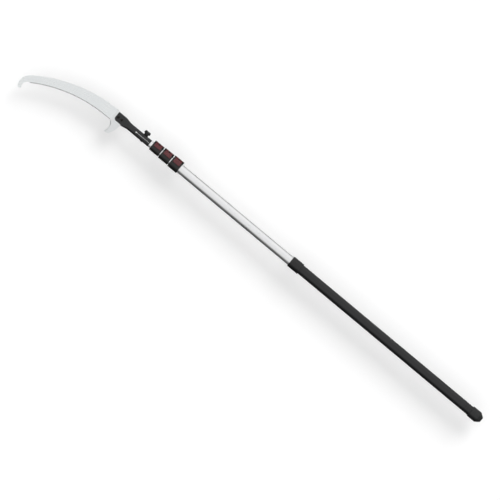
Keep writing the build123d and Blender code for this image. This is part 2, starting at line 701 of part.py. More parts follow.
def blade_fasteners():
    """The blade's bolts, washers and nuts, one compound for each kind."""
    places = blade_bolt_xs()
    washers = [side for x in places for side in both_faces(blade_washer(x))]
    return {
        "blade_bolts": Compound(children=[blade_bolt(x) for x in places]),
        "blade_washers": Compound(children=washers),
        "blade_nuts": Compound(children=[blade_nut(x) for x in places]),
    }


# --- The whole saw ---


def collar_parts(collar):
    """Every piece of one clamp collar, by node name."""
    name = COLLAR_NAMES[collar]
    return {
        f"{name}_collar": collar_shell(collar),
        f"{name}_collar_liner": collar_liner(collar),
        f"{name}_collar_rivets": collar_rivets(collar),
        f"{name}_lever": clamp_lever(collar),
        f"{name}_lever_pin": lever_pin(collar),
        f"{name}_eye_bolt": eye_bolt(collar),
        f"{name}_clamp_nut": clamp_nut(collar),
    }


def all_parts():
    """Every node of the saw."""
    parts = {
        "end_cap": end_cap(),
        "end_plug": end_plug(),
        "grip_sleeve": grip_sleeve(),
        "grip_ring": grip_ring(),
        "blade_holder": blade_holder(),
        "top_tube_core": top_tube_core(),
        "clamp_bolt": clamp_bolt(),
        "knob_saddle": knob_saddle(),
        "knob_washer": knob_washer(),
        "knob_insert": knob_insert(),
        "thumb_knob": thumb_knob(),
        "blade": blade(),
        "sickle": sickle(),
    }
    parts.update(blade_fasteners())
    for stage, name in enumerate(TUBE_NAMES):
        parts[f"{name}_tube"] = pole_tube(stage)
        if stage < 3:
            parts[f"{name}_tube_bushes"] = guide_bushes(stage)
    for collar in range(3):
        parts.update(collar_parts(collar))
    return parts


os.makedirs("parts", exist_ok=True)
for node, shape in all_parts().items():
    export_step(shape, f"parts/{node}.step")
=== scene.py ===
"""The looks of a telescoping pole saw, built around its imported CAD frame.

Every size is in metres, in the frame's own axes: +X runs along the pole towards the blade, +Y is the
toothed side of the blade, -Y the side of the levers' pins and the thumb knob, and +Z is up.
"""

import json
import logging
import math
from collections.abc import Iterable, Sequence
from dataclasses import dataclass
from enum import Enum
from typing import NamedTuple

import bmesh
import bpy
from bmesh.types import BMEdge, BMesh, BMFace, BMVert
from bpy.types import Material, Node, NodeSocket, NodeTree, Object
from mathutils import Matrix, Vector

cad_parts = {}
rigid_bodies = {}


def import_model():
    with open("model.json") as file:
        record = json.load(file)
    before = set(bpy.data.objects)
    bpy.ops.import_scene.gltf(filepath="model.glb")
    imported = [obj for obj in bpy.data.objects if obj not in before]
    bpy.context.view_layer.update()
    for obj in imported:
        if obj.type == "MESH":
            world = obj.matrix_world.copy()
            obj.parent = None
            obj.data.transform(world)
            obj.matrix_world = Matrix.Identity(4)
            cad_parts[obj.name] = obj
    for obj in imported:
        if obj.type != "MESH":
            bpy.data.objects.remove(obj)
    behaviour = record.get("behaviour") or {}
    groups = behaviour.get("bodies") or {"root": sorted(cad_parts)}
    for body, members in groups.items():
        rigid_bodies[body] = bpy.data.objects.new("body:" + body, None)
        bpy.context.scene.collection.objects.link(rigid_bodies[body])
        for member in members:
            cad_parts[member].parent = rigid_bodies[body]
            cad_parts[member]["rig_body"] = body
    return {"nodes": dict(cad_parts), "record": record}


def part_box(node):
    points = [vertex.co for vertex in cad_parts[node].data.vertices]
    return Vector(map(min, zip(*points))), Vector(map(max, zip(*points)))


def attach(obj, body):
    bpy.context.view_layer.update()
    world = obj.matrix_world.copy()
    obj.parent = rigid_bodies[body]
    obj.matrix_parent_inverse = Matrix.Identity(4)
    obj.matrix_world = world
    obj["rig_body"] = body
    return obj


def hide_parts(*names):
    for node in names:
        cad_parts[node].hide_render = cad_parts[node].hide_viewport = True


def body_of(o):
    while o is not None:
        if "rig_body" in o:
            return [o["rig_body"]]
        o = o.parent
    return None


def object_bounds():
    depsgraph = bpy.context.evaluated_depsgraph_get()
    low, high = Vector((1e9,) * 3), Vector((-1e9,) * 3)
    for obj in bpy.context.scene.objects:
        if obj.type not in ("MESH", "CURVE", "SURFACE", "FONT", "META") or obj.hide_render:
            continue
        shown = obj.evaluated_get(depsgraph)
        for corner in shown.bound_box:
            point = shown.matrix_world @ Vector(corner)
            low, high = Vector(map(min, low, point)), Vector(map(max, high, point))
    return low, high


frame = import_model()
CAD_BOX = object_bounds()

MM = 0.001
FLAT = 10.0 * MM  # every oval of the pole is this much wider than it is high
BOLT_HEAD = 5.3 * MM  # the radius of a blade bolt's head
BOLT_HOLE = 3.15 * MM
RING_SIDES = 64
ROD_SIDES = 40
CREASE = math.radians(32.0)
WELD = 0.002 * MM
DISH = 0.02  # how far an end face sinks, for each metre in from its rim
SHOULDER_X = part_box("sickle")[1].x  # where the blade has its full width
EDGE_RADIUS = 642.0 * MM  # of the arc that the tooth tips lie on
EDGE_START = 26.5 * MM  # how far past the shoulder that arc comes nearest to the pole's axis
EDGE_SIDE = 32.0 * MM  # and how near it comes
EDGE_CENTRE = Vector((SHOULDER_X + EDGE_START, EDGE_SIDE + EDGE_RADIUS))
CLOUD_SHARE = 0.6  # of a finish's tone; its grain gives the rest
TONE_RANGE = (0.3, 0.7)  # the tones between which the gloss changes

log = logging.getLogger("pole_saw")


# --- Shader tools ---


def linear(hex_colour: str) -> tuple[float, float, float, float]:
    """Turns an sRGB hex colour into linear RGBA.

    Args:
        hex_colour: The colour as six hex digits after a hash sign.

    Returns:
        Linear red, green, blue and an alpha of 1.
    """
    channels = [int(hex_colour[i : i + 2], 16) / 255 for i in (1, 3, 5)]
    red, green, blue = (c / 12.92 if c <= 0.04045 else ((c + 0.055) / 1.055) ** 2.4 for c in channels)
    return red, green, blue, 1.0


def add_node(
    tree: NodeTree,
    kind: str,
    settings: dict[str | int, object] | None = None,
    links: dict[str | int, NodeSocket] | None = None,
) -> Node:
    """Adds a node with its settings and links.

    Args:
        tree: The node tree that it goes into.
        kind: Its Blender type name.
        settings: Properties of the node, or values for its input sockets by name or number.
        links: Output sockets of other nodes, by the input that each feeds.

    Returns:
        The new node.
    """
    node = tree.nodes.new(kind)
    for key, value in (settings or {}).items():
        if isinstance(key, str) and hasattr(node, key):
            setattr(node, key, value)
        else:
            node.inputs[key].default_value = value
    for key, socket in (links or {}).items():
        tree.links.new(socket, node.inputs[key])
    return node


def calculate(tree: NodeTree, operation: str, *inputs: float | NodeSocket) -> NodeSocket:
    """Adds a maths node.

    Args:
        tree: The node tree that it goes into.
        operation: What it works out, by Blender's name.
        inputs: Its inputs in order, each a number or another node's output.

    Returns:
        Its result.
    """
    numbers = {index: value for index, value in enumerate(inputs) if isinstance(value, float)}
    links = {index: value for index, value in enumerate(inputs) if index not in numbers}
    return add_node(tree, "ShaderNodeMath", {"operation": operation, **numbers}, links).outputs["Value"]


def ranged(
    tree: NodeTree,
    value: NodeSocket,
    start: tuple[float, float] = (0.0, 1.0),
    end: tuple[float, float] = (0.0, 1.0),
) -> NodeSocket:
    """Carries a value from one range to another.

    Args:
        tree: The node tree that it goes into.
        value: The value, as another node's output.
        start: The range that it comes from.
        end: The range that it goes to.

    Returns:
        The new value, which stays in the range.
    """
    settings = {"From Min": start[0], "From Max": start[1], "To Min": end[0], "To Max": end[1]}
    return add_node(tree, "ShaderNodeMapRange", settings, {"Value": value}).outputs["Result"]


def noise(tree: NodeTree, place: NodeSocket, scale: float, detail: float, roughness: float) -> NodeSocket:
    """Returns the value of a new noise texture at a place."""
    settings = {"Scale": scale, "Detail": detail, "Roughness": roughness}
    return add_node(tree, "ShaderNodeTexNoise", settings, {"Vector": place}).outputs["Fac"]


@dataclass(frozen=True)
class Finish:
    """A surface that varies a little in colour and gloss over a fine grain.

    Attributes:
        name: The material's name.
        light: Its lighter colour, sRGB hex.
        dark: Its darker colour, sRGB hex.
        metallic: 1 on bare metal, 0 on polymers and paints.
        roughness: The smoothest and the roughest that it gets.
        grain: The length, width and height of the grain, in metres.
        relief: How deep the grain is, in metres.
        cloud: How far apart the changes of tone are, in metres.
        coat: How much of a clear gloss lies over it.
        ior: Its index of refraction.
    """

    name: str
    light: str
    dark: str
    metallic: float
    roughness: tuple[float, float]
    grain: tuple[float, float, float]
    relief: float
    cloud: float = 45.0 * MM
    coat: float = 0.0
    ior: float = 1.5

    def material(self) -> Material:
        """Builds the material and returns it."""
        made = bpy.data.materials.new(self.name)
        made.use_nodes = True
        tree = made.node_tree
        tree.nodes.clear()
        place = add_node(tree, "ShaderNodeTexCoord").outputs["Object"]
        stretch = tuple(1.0 / size for size in self.grain)
        along = add_node(tree, "ShaderNodeMapping", {"Scale": stretch}, {"Vector": self.laid(tree, place)})
        grain = noise(tree, along.outputs["Vector"], 1.0, 3.0, 0.55)
        cloud = noise(tree, place, 1.0 / self.cloud, 4.0, 0.6)
        fine = calculate(tree, "MULTIPLY", grain, 1.0 - CLOUD_SHARE)
        tone = calculate(tree, "MULTIPLY_ADD", cloud, CLOUD_SHARE, fine)
        shades = {"data_type": "RGBA", 6: linear(self.dark), 7: linear(self.light)}
        colour = add_node(tree, "ShaderNodeMix", shades, {0: tone}).outputs[2]
        relief = {"Strength": 1.0, "Distance": self.relief}
        sockets = {
            "Base Color": self.painted_over(tree, place, colour),
            "Roughness": ranged(tree, tone, TONE_RANGE, self.roughness),
            "Normal": add_node(tree, "ShaderNodeBump", relief, {"Height": grain}).outputs["Normal"],
        }
        settings = {"Metallic": self.metallic, "IOR": self.ior, "Coat Weight": self.coat}
        shader = add_node(tree, "ShaderNodeBsdfPrincipled", settings, sockets)
        add_node(tree, "ShaderNodeOutputMaterial", None, {"Surface": shader.outputs["BSDF"]})
        return made

    def laid(self, tree: NodeTree, place: NodeSocket) -> NodeSocket:
        """Returns the coordinates that the grain runs along, which are the object's own."""
        return place

    def painted_over(self, tree: NodeTree, place: NodeSocket, colour: NodeSocket) -> NodeSocket:
        """Returns the colour with any painted shade laid over it, of which a plain finish has none."""
        return colour


@dataclass(frozen=True)
class GroundSteelWithPaintedToothShade(Finish):
    """Steel ground along the blade's curve, with painted shade darkening its tooth tips.

    Attributes:
        tooth_shade: The dark painted shade over the tooth tips, sRGB hex.
        reach: How far in from the tips the painted shade goes, in metres.
        fade: Over how much of that it fades away, in metres.
        span: How far along X from the arc's centre the last tooth stands, in metres.
    """

    tooth_shade: str = "#2B2F34"
    reach: float = 4.4 * MM
    fade: float = 1.0 * MM
    span: float = 346.0 * MM

    def measured(self, tree: NodeTree, place: NodeSocket) -> tuple[NodeSocket, Node]:
        """Measures a place from the centre of the toothed arc.

        Args:
            tree: The material's node tree.
            place: The place, in the object's own coordinates.

        Returns:
            How far it is from there, and a node with the way along X, Y and Z.
        """
        centre = {"operation": "SUBTRACT", 1: (*EDGE_CENTRE, 0.0)}
        way = add_node(tree, "ShaderNodeVectorMath", centre, {0: place}).outputs[0]
        far = add_node(tree, "ShaderNodeVectorMath", {"operation": "LENGTH"}, {0: way}).outputs["Value"]
        return far, add_node(tree, "ShaderNodeSeparateXYZ", None, {0: way})

    def laid(self, tree: NodeTree, place: NodeSocket) -> NodeSocket:
        """Returns coordinates along and across the blade's curve.

        Args:
            tree: The material's node tree.
            place: The place, in the object's own coordinates.
        """
        far, way = self.measured(tree, place)
        depth = calculate(tree, "MULTIPLY", way.outputs["Y"], -1.0)
        angle = calculate(tree, "ARCTAN2", way.outputs["X"], depth)
        links = {"X": calculate(tree, "MULTIPLY", angle, EDGE_RADIUS), "Y": far, "Z": way.outputs["Z"]}
        return add_node(tree, "ShaderNodeCombineXYZ", None, links).outputs["Vector"]

    def painted_over(self, tree: NodeTree, place: NodeSocket, colour: NodeSocket) -> NodeSocket:
        """Returns the colour with painted shade over the tooth tips, in place of their shaded gullets and
        facets.

        Args:
            tree: The material's node tree.
            place: The place, in the object's own coordinates.
            colour: The colour of the plain steel there.
        """
        far, way = self.measured(tree, place)
        edge = EDGE_RADIUS + self.reach
        inner = ranged(tree, far, (edge - self.fade, edge))
        past = ranged(tree, way.outputs["X"], (self.span - self.fade, self.span))
        clear = calculate(tree, "MAXIMUM", inner, past)
        # painted shade: a dark colour laid over the teeth in place of their shaded gullets and facets
        tooth_shade = {"data_type": "RGBA", 6: linear(self.tooth_shade)}
        return add_node(tree, "ShaderNodeMix", tooth_shade, {0: clear, 7: colour}).outputs[2]


class Slot(Enum):
    """The record's material slots, each with its finish."""

    # Drawn aluminium tube, satin anodised: fine die lines run along it and hold the light as long streaks.
    tube_aluminium = Finish(
        "anodised_drawn_aluminium", "#FAFAFA", "#E6E7E8", 1.0, (0.24, 0.36),
        (220.0 * MM, 0.7 * MM, 0.7 * MM), 0.004 * MM,
    )
    # Moulded EPDM: soft black with a spark-eroded grain that breaks up the highlight.
    cap_rubber = Finish(
        "moulded_epdm_rubber", "#141516", "#080909", 0.0, (0.34, 0.48), (0.9 * MM,) * 3, 0.05 * MM, 20.0 * MM
    )
    # Extruded thermoplastic rubber sleeve: satin, with faint flow lines along it.
    grip_rubber = Finish(
        "extruded_tpe_rubber", "#131315", "#070708", 0.0, (0.28, 0.42),
        (7.0 * MM, 1.1 * MM, 1.1 * MM), 0.05 * MM,
    )
    # Moulded polypropylene ring: waxy satin black.
    ring_plastic = Finish(
        "moulded_polypropylene", "#0C0C0D", "#050506", 0.0, (0.28, 0.4), (1.0 * MM,) * 3, 0.02 * MM, 18.0 * MM
    )
    # Glass filled nylon: short fibres at the skin make it mottled and slightly rough.
    collar_nylon = Finish(
        "glass_filled_nylon", "#141412", "#070706", 0.0, (0.28, 0.44),
        (1.6 * MM, 0.6 * MM, 0.6 * MM), 0.03 * MM, 9.0 * MM,
    )
    # Natural nylon: warm white, a little translucent and worn satin.
    bush_nylon = Finish(
        "natural_nylon", "#E4E0D2", "#C9C3B0", 0.0, (0.35, 0.5), (1.2 * MM,) * 3, 0.02 * MM, 12.0 * MM
    )
    # Dyed nylon levers: deep red, satin, darker where the dye pools.
    lever_plastic = Finish(
        "red_dyed_nylon", "#5E2226", "#3A1417", 0.0, (0.3, 0.46), (1.1 * MM,) * 3, 0.02 * MM, 8.0 * MM
    )
    # Black zinc on steel pins and nuts: near black, with a faint metal sheen.
    pin_steel = Finish(
        "black_zinc_plated_steel", "#3C3D40", "#202124", 0.9, (0.3, 0.46),
        (0.8 * MM,) * 3, 0.005 * MM, 3.0 * MM,
    )
    # Black chromated rivets, so that they hide in the collars.
    rivet_steel = Finish(
        "black_chromated_steel", "#37383A", "#1C1D1E", 0.8, (0.38, 0.5), (0.8 * MM,) * 3, 0.005 * MM, 3.0 * MM
    )
    # Powder coat on steel: black with the shallow waves of orange peel.
    holder_paint = Finish(
        "powder_coated_steel", "#131315", "#070708", 0.0, (0.24, 0.38),
        (2.2 * MM,) * 3, 0.06 * MM, 16.0 * MM, 0.15,
    )
    # Black oxide on steel: brown-black, oily sheen.
    black_fastener = Finish(
        "black_oxide_steel", "#2E2C2A", "#161514", 0.9, (0.34, 0.5), (0.7 * MM,) * 3, 0.006 * MM, 4.0 * MM
    )
    # Turned brass insert.
    brass = Finish(
        "turned_brass", "#C9A45A", "#A07C3A", 1.0, (0.25, 0.38), (0.6 * MM,) * 3, 0.004 * MM, 4.0 * MM
    )
    # Phenolic knob: hard, deep black and fairly glossy.
    knob_plastic = Finish(
        "moulded_phenolic", "#141415", "#070708", 0.0, (0.22, 0.36), (1.3 * MM,) * 3, 0.015 * MM, 10.0 * MM
    )
    # Hard chromed saw steel: bright, with grinding lines that follow its curve, and its tooth tips darkened
    # by painted shade.
    blade_steel = GroundSteelWithPaintedToothShade(
        "hard_chromed_saw_steel", "#F3F5F5", "#E4E8E9", 1.0, (0.2, 0.32),
        (80.0 * MM, 1.1 * MM, 1.1 * MM), 0.002 * MM, 90.0 * MM,
    )
    # The sickle is the same steel, blasted before plating: greyer and flatter.
    sickle_steel = Finish(
        "blasted_tool_steel", "#F1F3F3", "#DEE1E2", 1.0, (0.3, 0.44), (0.8 * MM,) * 3, 0.006 * MM, 14.0 * MM
    )


# --- Mesh tools ---


class Station(NamedTuple):
    """A ring of an oval body: its place along X, half its height and the width of its flat."""

    x: float
    half: float
    flat: float = FLAT


class Corner(NamedTuple):
    """A corner of an outline, with the radius that rounds it."""

    x: float
    y: float
    radius: float = 0.0


def circle_points(centre: Vector, radius: float, start: float, turn: float, steps: int) -> list[Vector]:
    """Returns points along an arc in a plane, both ends included."""
    angles = [start + turn * step / steps for step in range(steps + 1)]
    return [centre + radius * Vector((math.cos(angle), math.sin(angle))) for angle in angles]


def arc_points(start: Vector, middle: Vector, end: Vector, steps: int) -> list[Vector]:
    """Finds the arc through three points of a plane.

    Args:
        start: Where it starts.
        middle: A point that it passes.
        end: Where it ends.
        steps: How many chords it has.

    Returns:
        Its points, both ends included.
    """
    to_middle, to_end = middle - start, end - start
    cross = 2 * (to_middle.x * to_end.y - to_middle.y * to_end.x)
    far, near = to_end.length_squared, to_middle.length_squared
    offset = Vector((to_end.y * near - to_middle.y * far, to_middle.x * far - to_end.x * near)) / cross
    centre = start + offset
    first = math.atan2(-offset.y, -offset.x)
    last = math.atan2(end.y - centre.y, end.x - centre.x)
    turn = (last - first) % math.tau if cross > 0 else -((first - last) % math.tau)
    return circle_points(centre, offset.length, first, turn, steps)


def rounded(corners: Sequence[Corner], closed: bool, steps: int = 4) -> list[Vector]:
    """Rounds the corners of an outline.

    Args:
        corners: The corners in order, each with its radius.
        closed: Whether the last corner joins the first.
        steps: How many chords each rounded corner has.

    Returns:
        The outline's points in order.
    """
    points: list[Vector] = []
    for index, corner in enumerate(corners):
        here = Vector(corner[:2])
        at_end = not closed and index in (0, len(corners) - 1)
        if corner.radius == 0.0 or at_end:
            points.append(here)
            continue
        back = (Vector(corners[index - 1][:2]) - here).normalized()
        ahead = (Vector(corners[(index + 1) % len(corners)][:2]) - here).normalized()
        half_angle = back.angle(ahead) / 2
        reach = corner.radius / math.tan(half_angle)
        centre = here + (back + ahead).normalized() * corner.radius / math.sin(half_angle)
        first = here + back * reach - centre
        last = here + ahead * reach - centre
        start = math.atan2(first.y, first.x)
        turn = (math.atan2(last.y, last.x) - start + math.pi) % math.tau - math.pi
        points += circle_points(centre, corner.radius, start, turn, steps)
    return points


def circle_edges(mesh: BMesh, x: float, centre: Vector, radius: float, sides: int) -> list[BMEdge]:
    """Adds a round ring square to X.

    Args:
        mesh: The mesh that it goes into.
        x: Its place along X.
        centre: A point on its axis.
        radius: Its radius.
        sides: How many edges it has.

    Returns:
        Its edges.
    """
    facing = Matrix.Rotation(math.pi / 2, 4, "Y") @ Matrix.Rotation(math.pi / sides, 4, "Z")
    place = Matrix.Translation((x, centre.y, centre.z)) @ facing
    ring = bmesh.ops.create_circle(mesh, cap_ends=False, segments=sides, radius=radius, matrix=place)["verts"]
    return list({edge for vert in ring for edge in vert.link_edges})


def oval_ring(mesh: BMesh, station: Station) -> list[BMEdge]:
    """Adds an oval ring square to X.

    Args:
        mesh: The mesh that it goes into.
        station: Its place and size.

    Returns:
        Its edges.
    """
    edges = circle_edges(mesh, station.x, Vector(), station.half, RING_SIDES)
    ring = {vert for edge in edges for vert in edge.verts}
    for side in (1.0, -1.0):
        half_ring = [vert for vert in ring if vert.co.y * side > 0.0]
        bmesh.ops.translate(mesh, verts=half_ring, vec=(0.0, side * station.flat / 2, 0.0))
    return edges


def oval_body(mesh: BMesh, stations: Sequence[Station], closed: bool) -> None:
    """Adds an oval body from its rings.

    Args:
        mesh: The mesh that it goes into.
        stations: Its rings in order.
        closed: Whether the last ring joins the first, as on a tube, or both ends are capped.
    """
    middle = sum(station.x for station in stations) / len(stations)
    rings = []
    for x, half, flat in stations:
        # Rings in one plane can be bridged in more than one way, so end faces are a little dished.
        rim = max(other.half for other in stations if abs(other.x - x) < WELD)
        sunk = math.copysign(DISH * (rim - half), middle - x)
        rings.append(oval_ring(mesh, Station(x + sunk, half, flat)))
    for near, far in zip(rings, rings[1:]):
        bmesh.ops.bridge_loops(mesh, edges=near + far)
    if closed:
        bmesh.ops.bridge_loops(mesh, edges=rings[-1] + rings[0])
    else:
        for end in (rings[0], rings[-1]):
            bmesh.ops.contextual_create(mesh, geom=end)


def oval_piece(corners: Sequence[Corner], closed: bool, name: str) -> Object:
    """Makes an oval piece from a profile of places and half heights.

    Args:
        corners: The profile's corners.
        closed: Whether the profile closes, as on a sleeve, or both ends are capped.
        name: The piece's name.

    Returns:
        The piece, at the origin.
    """
    mesh = bmesh.new()
    oval_body(mesh, [Station(point.x, point.y) for point in rounded(corners, closed)], closed)
    return settle(mesh, name)


def block(mesh: BMesh, low: Vector, high: Vector, radius: float = 0.0) -> None:
    """Adds a block with rounded edges.

    Args:
        mesh: The mesh that it goes into.
        low: Its lowest corner.
        high: Its highest corner.
        radius: Its edges' radius, or 0 for sharp ones.
    """
    place = Matrix.Translation((low + high) / 2) @ Matrix.Diagonal((*(high - low), 1.0))
    verts = bmesh.ops.create_cube(mesh, size=1.0, matrix=place)["verts"]
    edges = list({edge for vert in verts for edge in vert.link_edges})
    soften(mesh, edges, radius, 3)


def soften(mesh: BMesh, edges: Iterable[BMEdge], radius: float, segments: int) -> None:
    """Rounds edges of a mesh, each in as many strips as segments says."""
    bmesh.ops.bevel(
        mesh, geom=list(edges), offset=radius, offset_type="OFFSET", segments=segments, profile=0.5,
        affect="EDGES", clamp_overlap=True, material=-1,
    )


def rod(
    mesh: BMesh, start: Vector, end: Vector, radius: float, edge: float = 0.0, sides: int = ROD_SIDES
) -> None:
    """Adds a round rod.

    Args:
        mesh: The mesh that it goes into.
        start: The middle of its one end.
        end: The middle of its other end.
        radius: Its radius.
        edge: Its two rims' radius, or 0 for sharp ones.
        sides: How many faces go round it.
    """
    run = end - start
    turn = Vector((0.0, 0.0, 1.0)).rotation_difference(run).to_matrix().to_4x4()
    place = Matrix.Translation((start + end) / 2) @ turn
    verts = bmesh.ops.create_cone(
        mesh, cap_ends=True, segments=sides, radius1=radius, radius2=radius, depth=run.length, matrix=place
    )["verts"]
    if edge > 0.0:
        rims = {e for vert in verts for e in vert.link_edges if any(len(f.verts) > 4 for f in e.link_faces)}
        soften(mesh, rims, edge, 3)


def eyelet(mesh: BMesh, start: float, end: float, centre: Vector, inner: float, outer: float) -> None:
    """Adds a round bored boss along X.

    Args:
        mesh: The mesh that it goes into.
        start: Where it starts along X.
        end: Where it ends along X.
        centre: A point on its axis.
        inner: The bore's radius.
        outer: The boss's radius.
    """
    chamfer = 0.4 * MM
    sunk = DISH * (outer - inner)
    half = [(sunk, inner), (0.0, outer - chamfer), (chamfer, outer)]
    profile = [(start + x, radius) for x, radius in half] + [(end - x, radius) for x, radius in half[::-1]]
    rings = [circle_edges(mesh, x, centre, radius, ROD_SIDES) for x, radius in profile]
    for near, far in zip(rings, rings[1:] + rings[:1]):
        bmesh.ops.bridge_loops(mesh, edges=near + far)


def sheet_face(mesh: BMesh, points: Iterable[Vector]) -> BMFace:
    """Adds one flat face from the corners of its outline."""
    verts = [bmesh.ops.create_vert(mesh, co=point)["vert"][0] for point in points]
    return mesh.faces.new(verts)


def lift(mesh: BMesh, face: BMFace, by: Vector) -> BMFace:
    """Extrudes a face.

    Args:
        mesh: The mesh that holds it.
        face: The face, which goes if it would be left inside.
        by: How far and which way.

    Returns:
        The new far face.
    """
    walled = all(len(edge.link_faces) > 1 for edge in face.edges)
    made = bmesh.ops.extrude_face_region(mesh, geom=[face])["geom"]
    bmesh.ops.translate(mesh, verts=[part for part in made if isinstance(part, BMVert)], vec=by)
    if walled and face.is_valid:
        bmesh.ops.delete(mesh, geom=[face], context="FACES_ONLY")
    return next(part for part in made if isinstance(part, BMFace))


def settle(mesh: BMesh, name: str) -> Object:
    """Turns a working mesh into a piece with closed seams, outward faces and crisp creases.

    Args:
        mesh: The working mesh, which is freed.
        name: The piece's name.

    Returns:
        The piece, at the origin.
    """
    bmesh.ops.remove_doubles(mesh, verts=mesh.verts, dist=WELD)
    bmesh.ops.recalc_face_normals(mesh, faces=mesh.faces)
    for face in mesh.faces:
        face.smooth = True
    for edge in mesh.edges:
        edge.smooth = len(edge.link_faces) == 2 and edge.calc_face_angle() < CREASE
    data = bpy.data.meshes.new(name)
    mesh.to_mesh(data)
    mesh.free()
    piece = bpy.data.objects.new(name, data)
    bpy.context.scene.collection.objects.link(piece)
    weighted = piece.modifiers.new("weighted_normals", "WEIGHTED_NORMAL")
    weighted.keep_sharp = True
    return piece


def carve(piece: Object, cutters: Sequence[Object]) -> BMesh:
    """Cuts shapes out of a piece, which is removed with its cutters.

    Args:
        piece: The piece to cut.
        cutters: Closed shapes that take their room out of it.

    Returns:
        The cut piece as a working mesh.
    """
    piece.modifiers.clear()
    for cutter in cutters:
        cutter.modifiers.clear()
        cut = piece.modifiers.new("cut", "BOOLEAN")
        cut.operation = "DIFFERENCE"
        cut.solver = "EXACT"
        cut.object = cutter
    bpy.context.view_layer.update()
    cut_piece = piece.evaluated_get(bpy.context.evaluated_depsgraph_get())
    mesh = bmesh.new()
    mesh.from_mesh(cut_piece.to_mesh())
    cut_piece.to_mesh_clear()
    for used in (piece, *cutters):
        data = used.data
        bpy.data.objects.remove(used)
        bpy.data.meshes.remove(data)
    return mesh


def bolt_holes() -> BMesh:
    """Returns the room of the two blade bolts, which the holder, the blade and the sickle share."""
    low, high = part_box("blade_bolts")
    mesh = bmesh.new()
    for x in (low.x + BOLT_HEAD, high.x - BOLT_HEAD):
        rod(mesh, Vector((x, 0.0, low.z)), Vector((x, 0.0, high.z)), BOLT_HOLE)
    return mesh


def middle_of(node: str) -> Vector:
    """Returns the middle of a CAD node."""
    low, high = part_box(node)
    return (low + high) / 2


class Workshop:
    """Holds the materials and dresses every piece."""

    def __init__(self) -> None:
        """Builds one material for each slot."""
        self.materials = {slot.name: slot.value.material() for slot in Slot}
        rows = frame["record"]["subparts"]
        self.slot_of = {row["node"]: row["material_slot"] for row in rows}

    def fit(self, piece: Object, node: str) -> None:
        """Puts a new piece in the place of a CAD node.

        Args:
            piece: The piece, already where it belongs.
            node: The CAD node that it stands for.
        """
        slot = self.slot_of[node]
        piece.data.materials.clear()
        piece.data.materials.append(self.materials[slot])
        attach(piece, body_of(frame["nodes"][node])[0])
        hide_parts(node)
        log.info("%s: %d faces, in place of %s", piece.name, len(piece.data.polygons), node)

    def dress_frame(self) -> None:
        """Gives every CAD node that still shows its material."""
        for name, node in frame["nodes"].items():
            if not node.hide_render:
                node.material_slots[0].material = self.materials[self.slot_of[name]]
                log.info("%s: kept, in %s", name, self.slot_of[name])


# --- Hand end ---


@dataclass
class HandEnd:
    """The cap, the sleeve and the ring on the outer tube."""

    nose_run: float = 20.0 * MM
    nose_drop: float = 14.0 * MM
    nose_radius: float = 7.0 * MM
    butt_radius: float = 2.5 * MM
    cavity: float = 22.0 * MM
    edge: float = 3.0 * MM
    grooves: tuple[float, ...] = (73.5 * MM, 85.0 * MM, 96.5 * MM)
    groove_width: float = 3.2 * MM
    groove_depth: float = 0.9 * MM
    groove_edge: float = 0.5 * MM
    ring_lower_edge: float = 2.4 * MM
    ring_upper_edge: float = 4.41 * MM
    ring_lap: float = 14.0 * MM

    def cap(self) -> Object:
        """Returns the rubber cap, its nose tapered to a flat butt face."""
        low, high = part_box("end_cap")
        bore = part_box("outer_tube")[1].z
        corners = [
            Corner(low.x, high.z - self.nose_drop - 2 * self.butt_radius),
            Corner(low.x, high.z - self.nose_drop, self.butt_radius / 2),
            Corner(low.x + self.nose_run, high.z, self.nose_radius),
            Corner(high.x, high.z, self.edge),
            Corner(high.x, bore),
            Corner(low.x + self.cavity, bore),
        ]
        return oval_piece(corners, False, "rubber_end_cap")

    def sleeve(self) -> Object:
        """Returns the long sleeve with its grooves."""
        low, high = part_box("grip_sleeve")
        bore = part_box("outer_tube")[1].z
        outside = [Corner(low.x, high.z, self.groove_edge)]
        for middle in self.grooves:
            start, end = middle - self.groove_width / 2, middle + self.groove_width / 2
            floor = high.z - self.groove_depth
            outside += [
                Corner(start - self.groove_edge, high.z, self.groove_edge / 2),
                Corner(start, floor, self.groove_edge / 2),
                Corner(end, floor, self.groove_edge / 2),
                Corner(end + self.groove_edge, high.z, self.groove_edge / 2),
            ]
        corners = [Corner(low.x, bore), *outside, Corner(high.x, high.z), Corner(high.x, bore)]
        return oval_piece(corners, True, "rubber_grip_sleeve")

    def ring(self) -> Object:
        """Returns the rounded ring over the sleeve's upper end."""
        low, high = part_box("grip_ring")
        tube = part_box("outer_tube")[1].z
        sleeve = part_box("grip_sleeve")[1].z
        step = low.x + self.ring_lap
        corners = [
            Corner(low.x, sleeve),
            Corner(low.x, high.z, self.ring_lower_edge),
            Corner(high.x, high.z, self.ring_upper_edge),
            Corner(high.x, tube),
            Corner(step, tube),
            Corner(step, sleeve),
        ]
        return oval_piece(corners, True, "moulded_grip_ring")

    def build(self, workshop: Workshop) -> None:
        """Builds and dresses the three pieces.

        Args:
            workshop: It holds their materials.
        """
        workshop.fit(self.cap(), "end_cap")
        workshop.fit(self.sleeve(), "grip_sleeve")
        workshop.fit(self.ring(), "grip_ring")


# --- Clamp collars ---


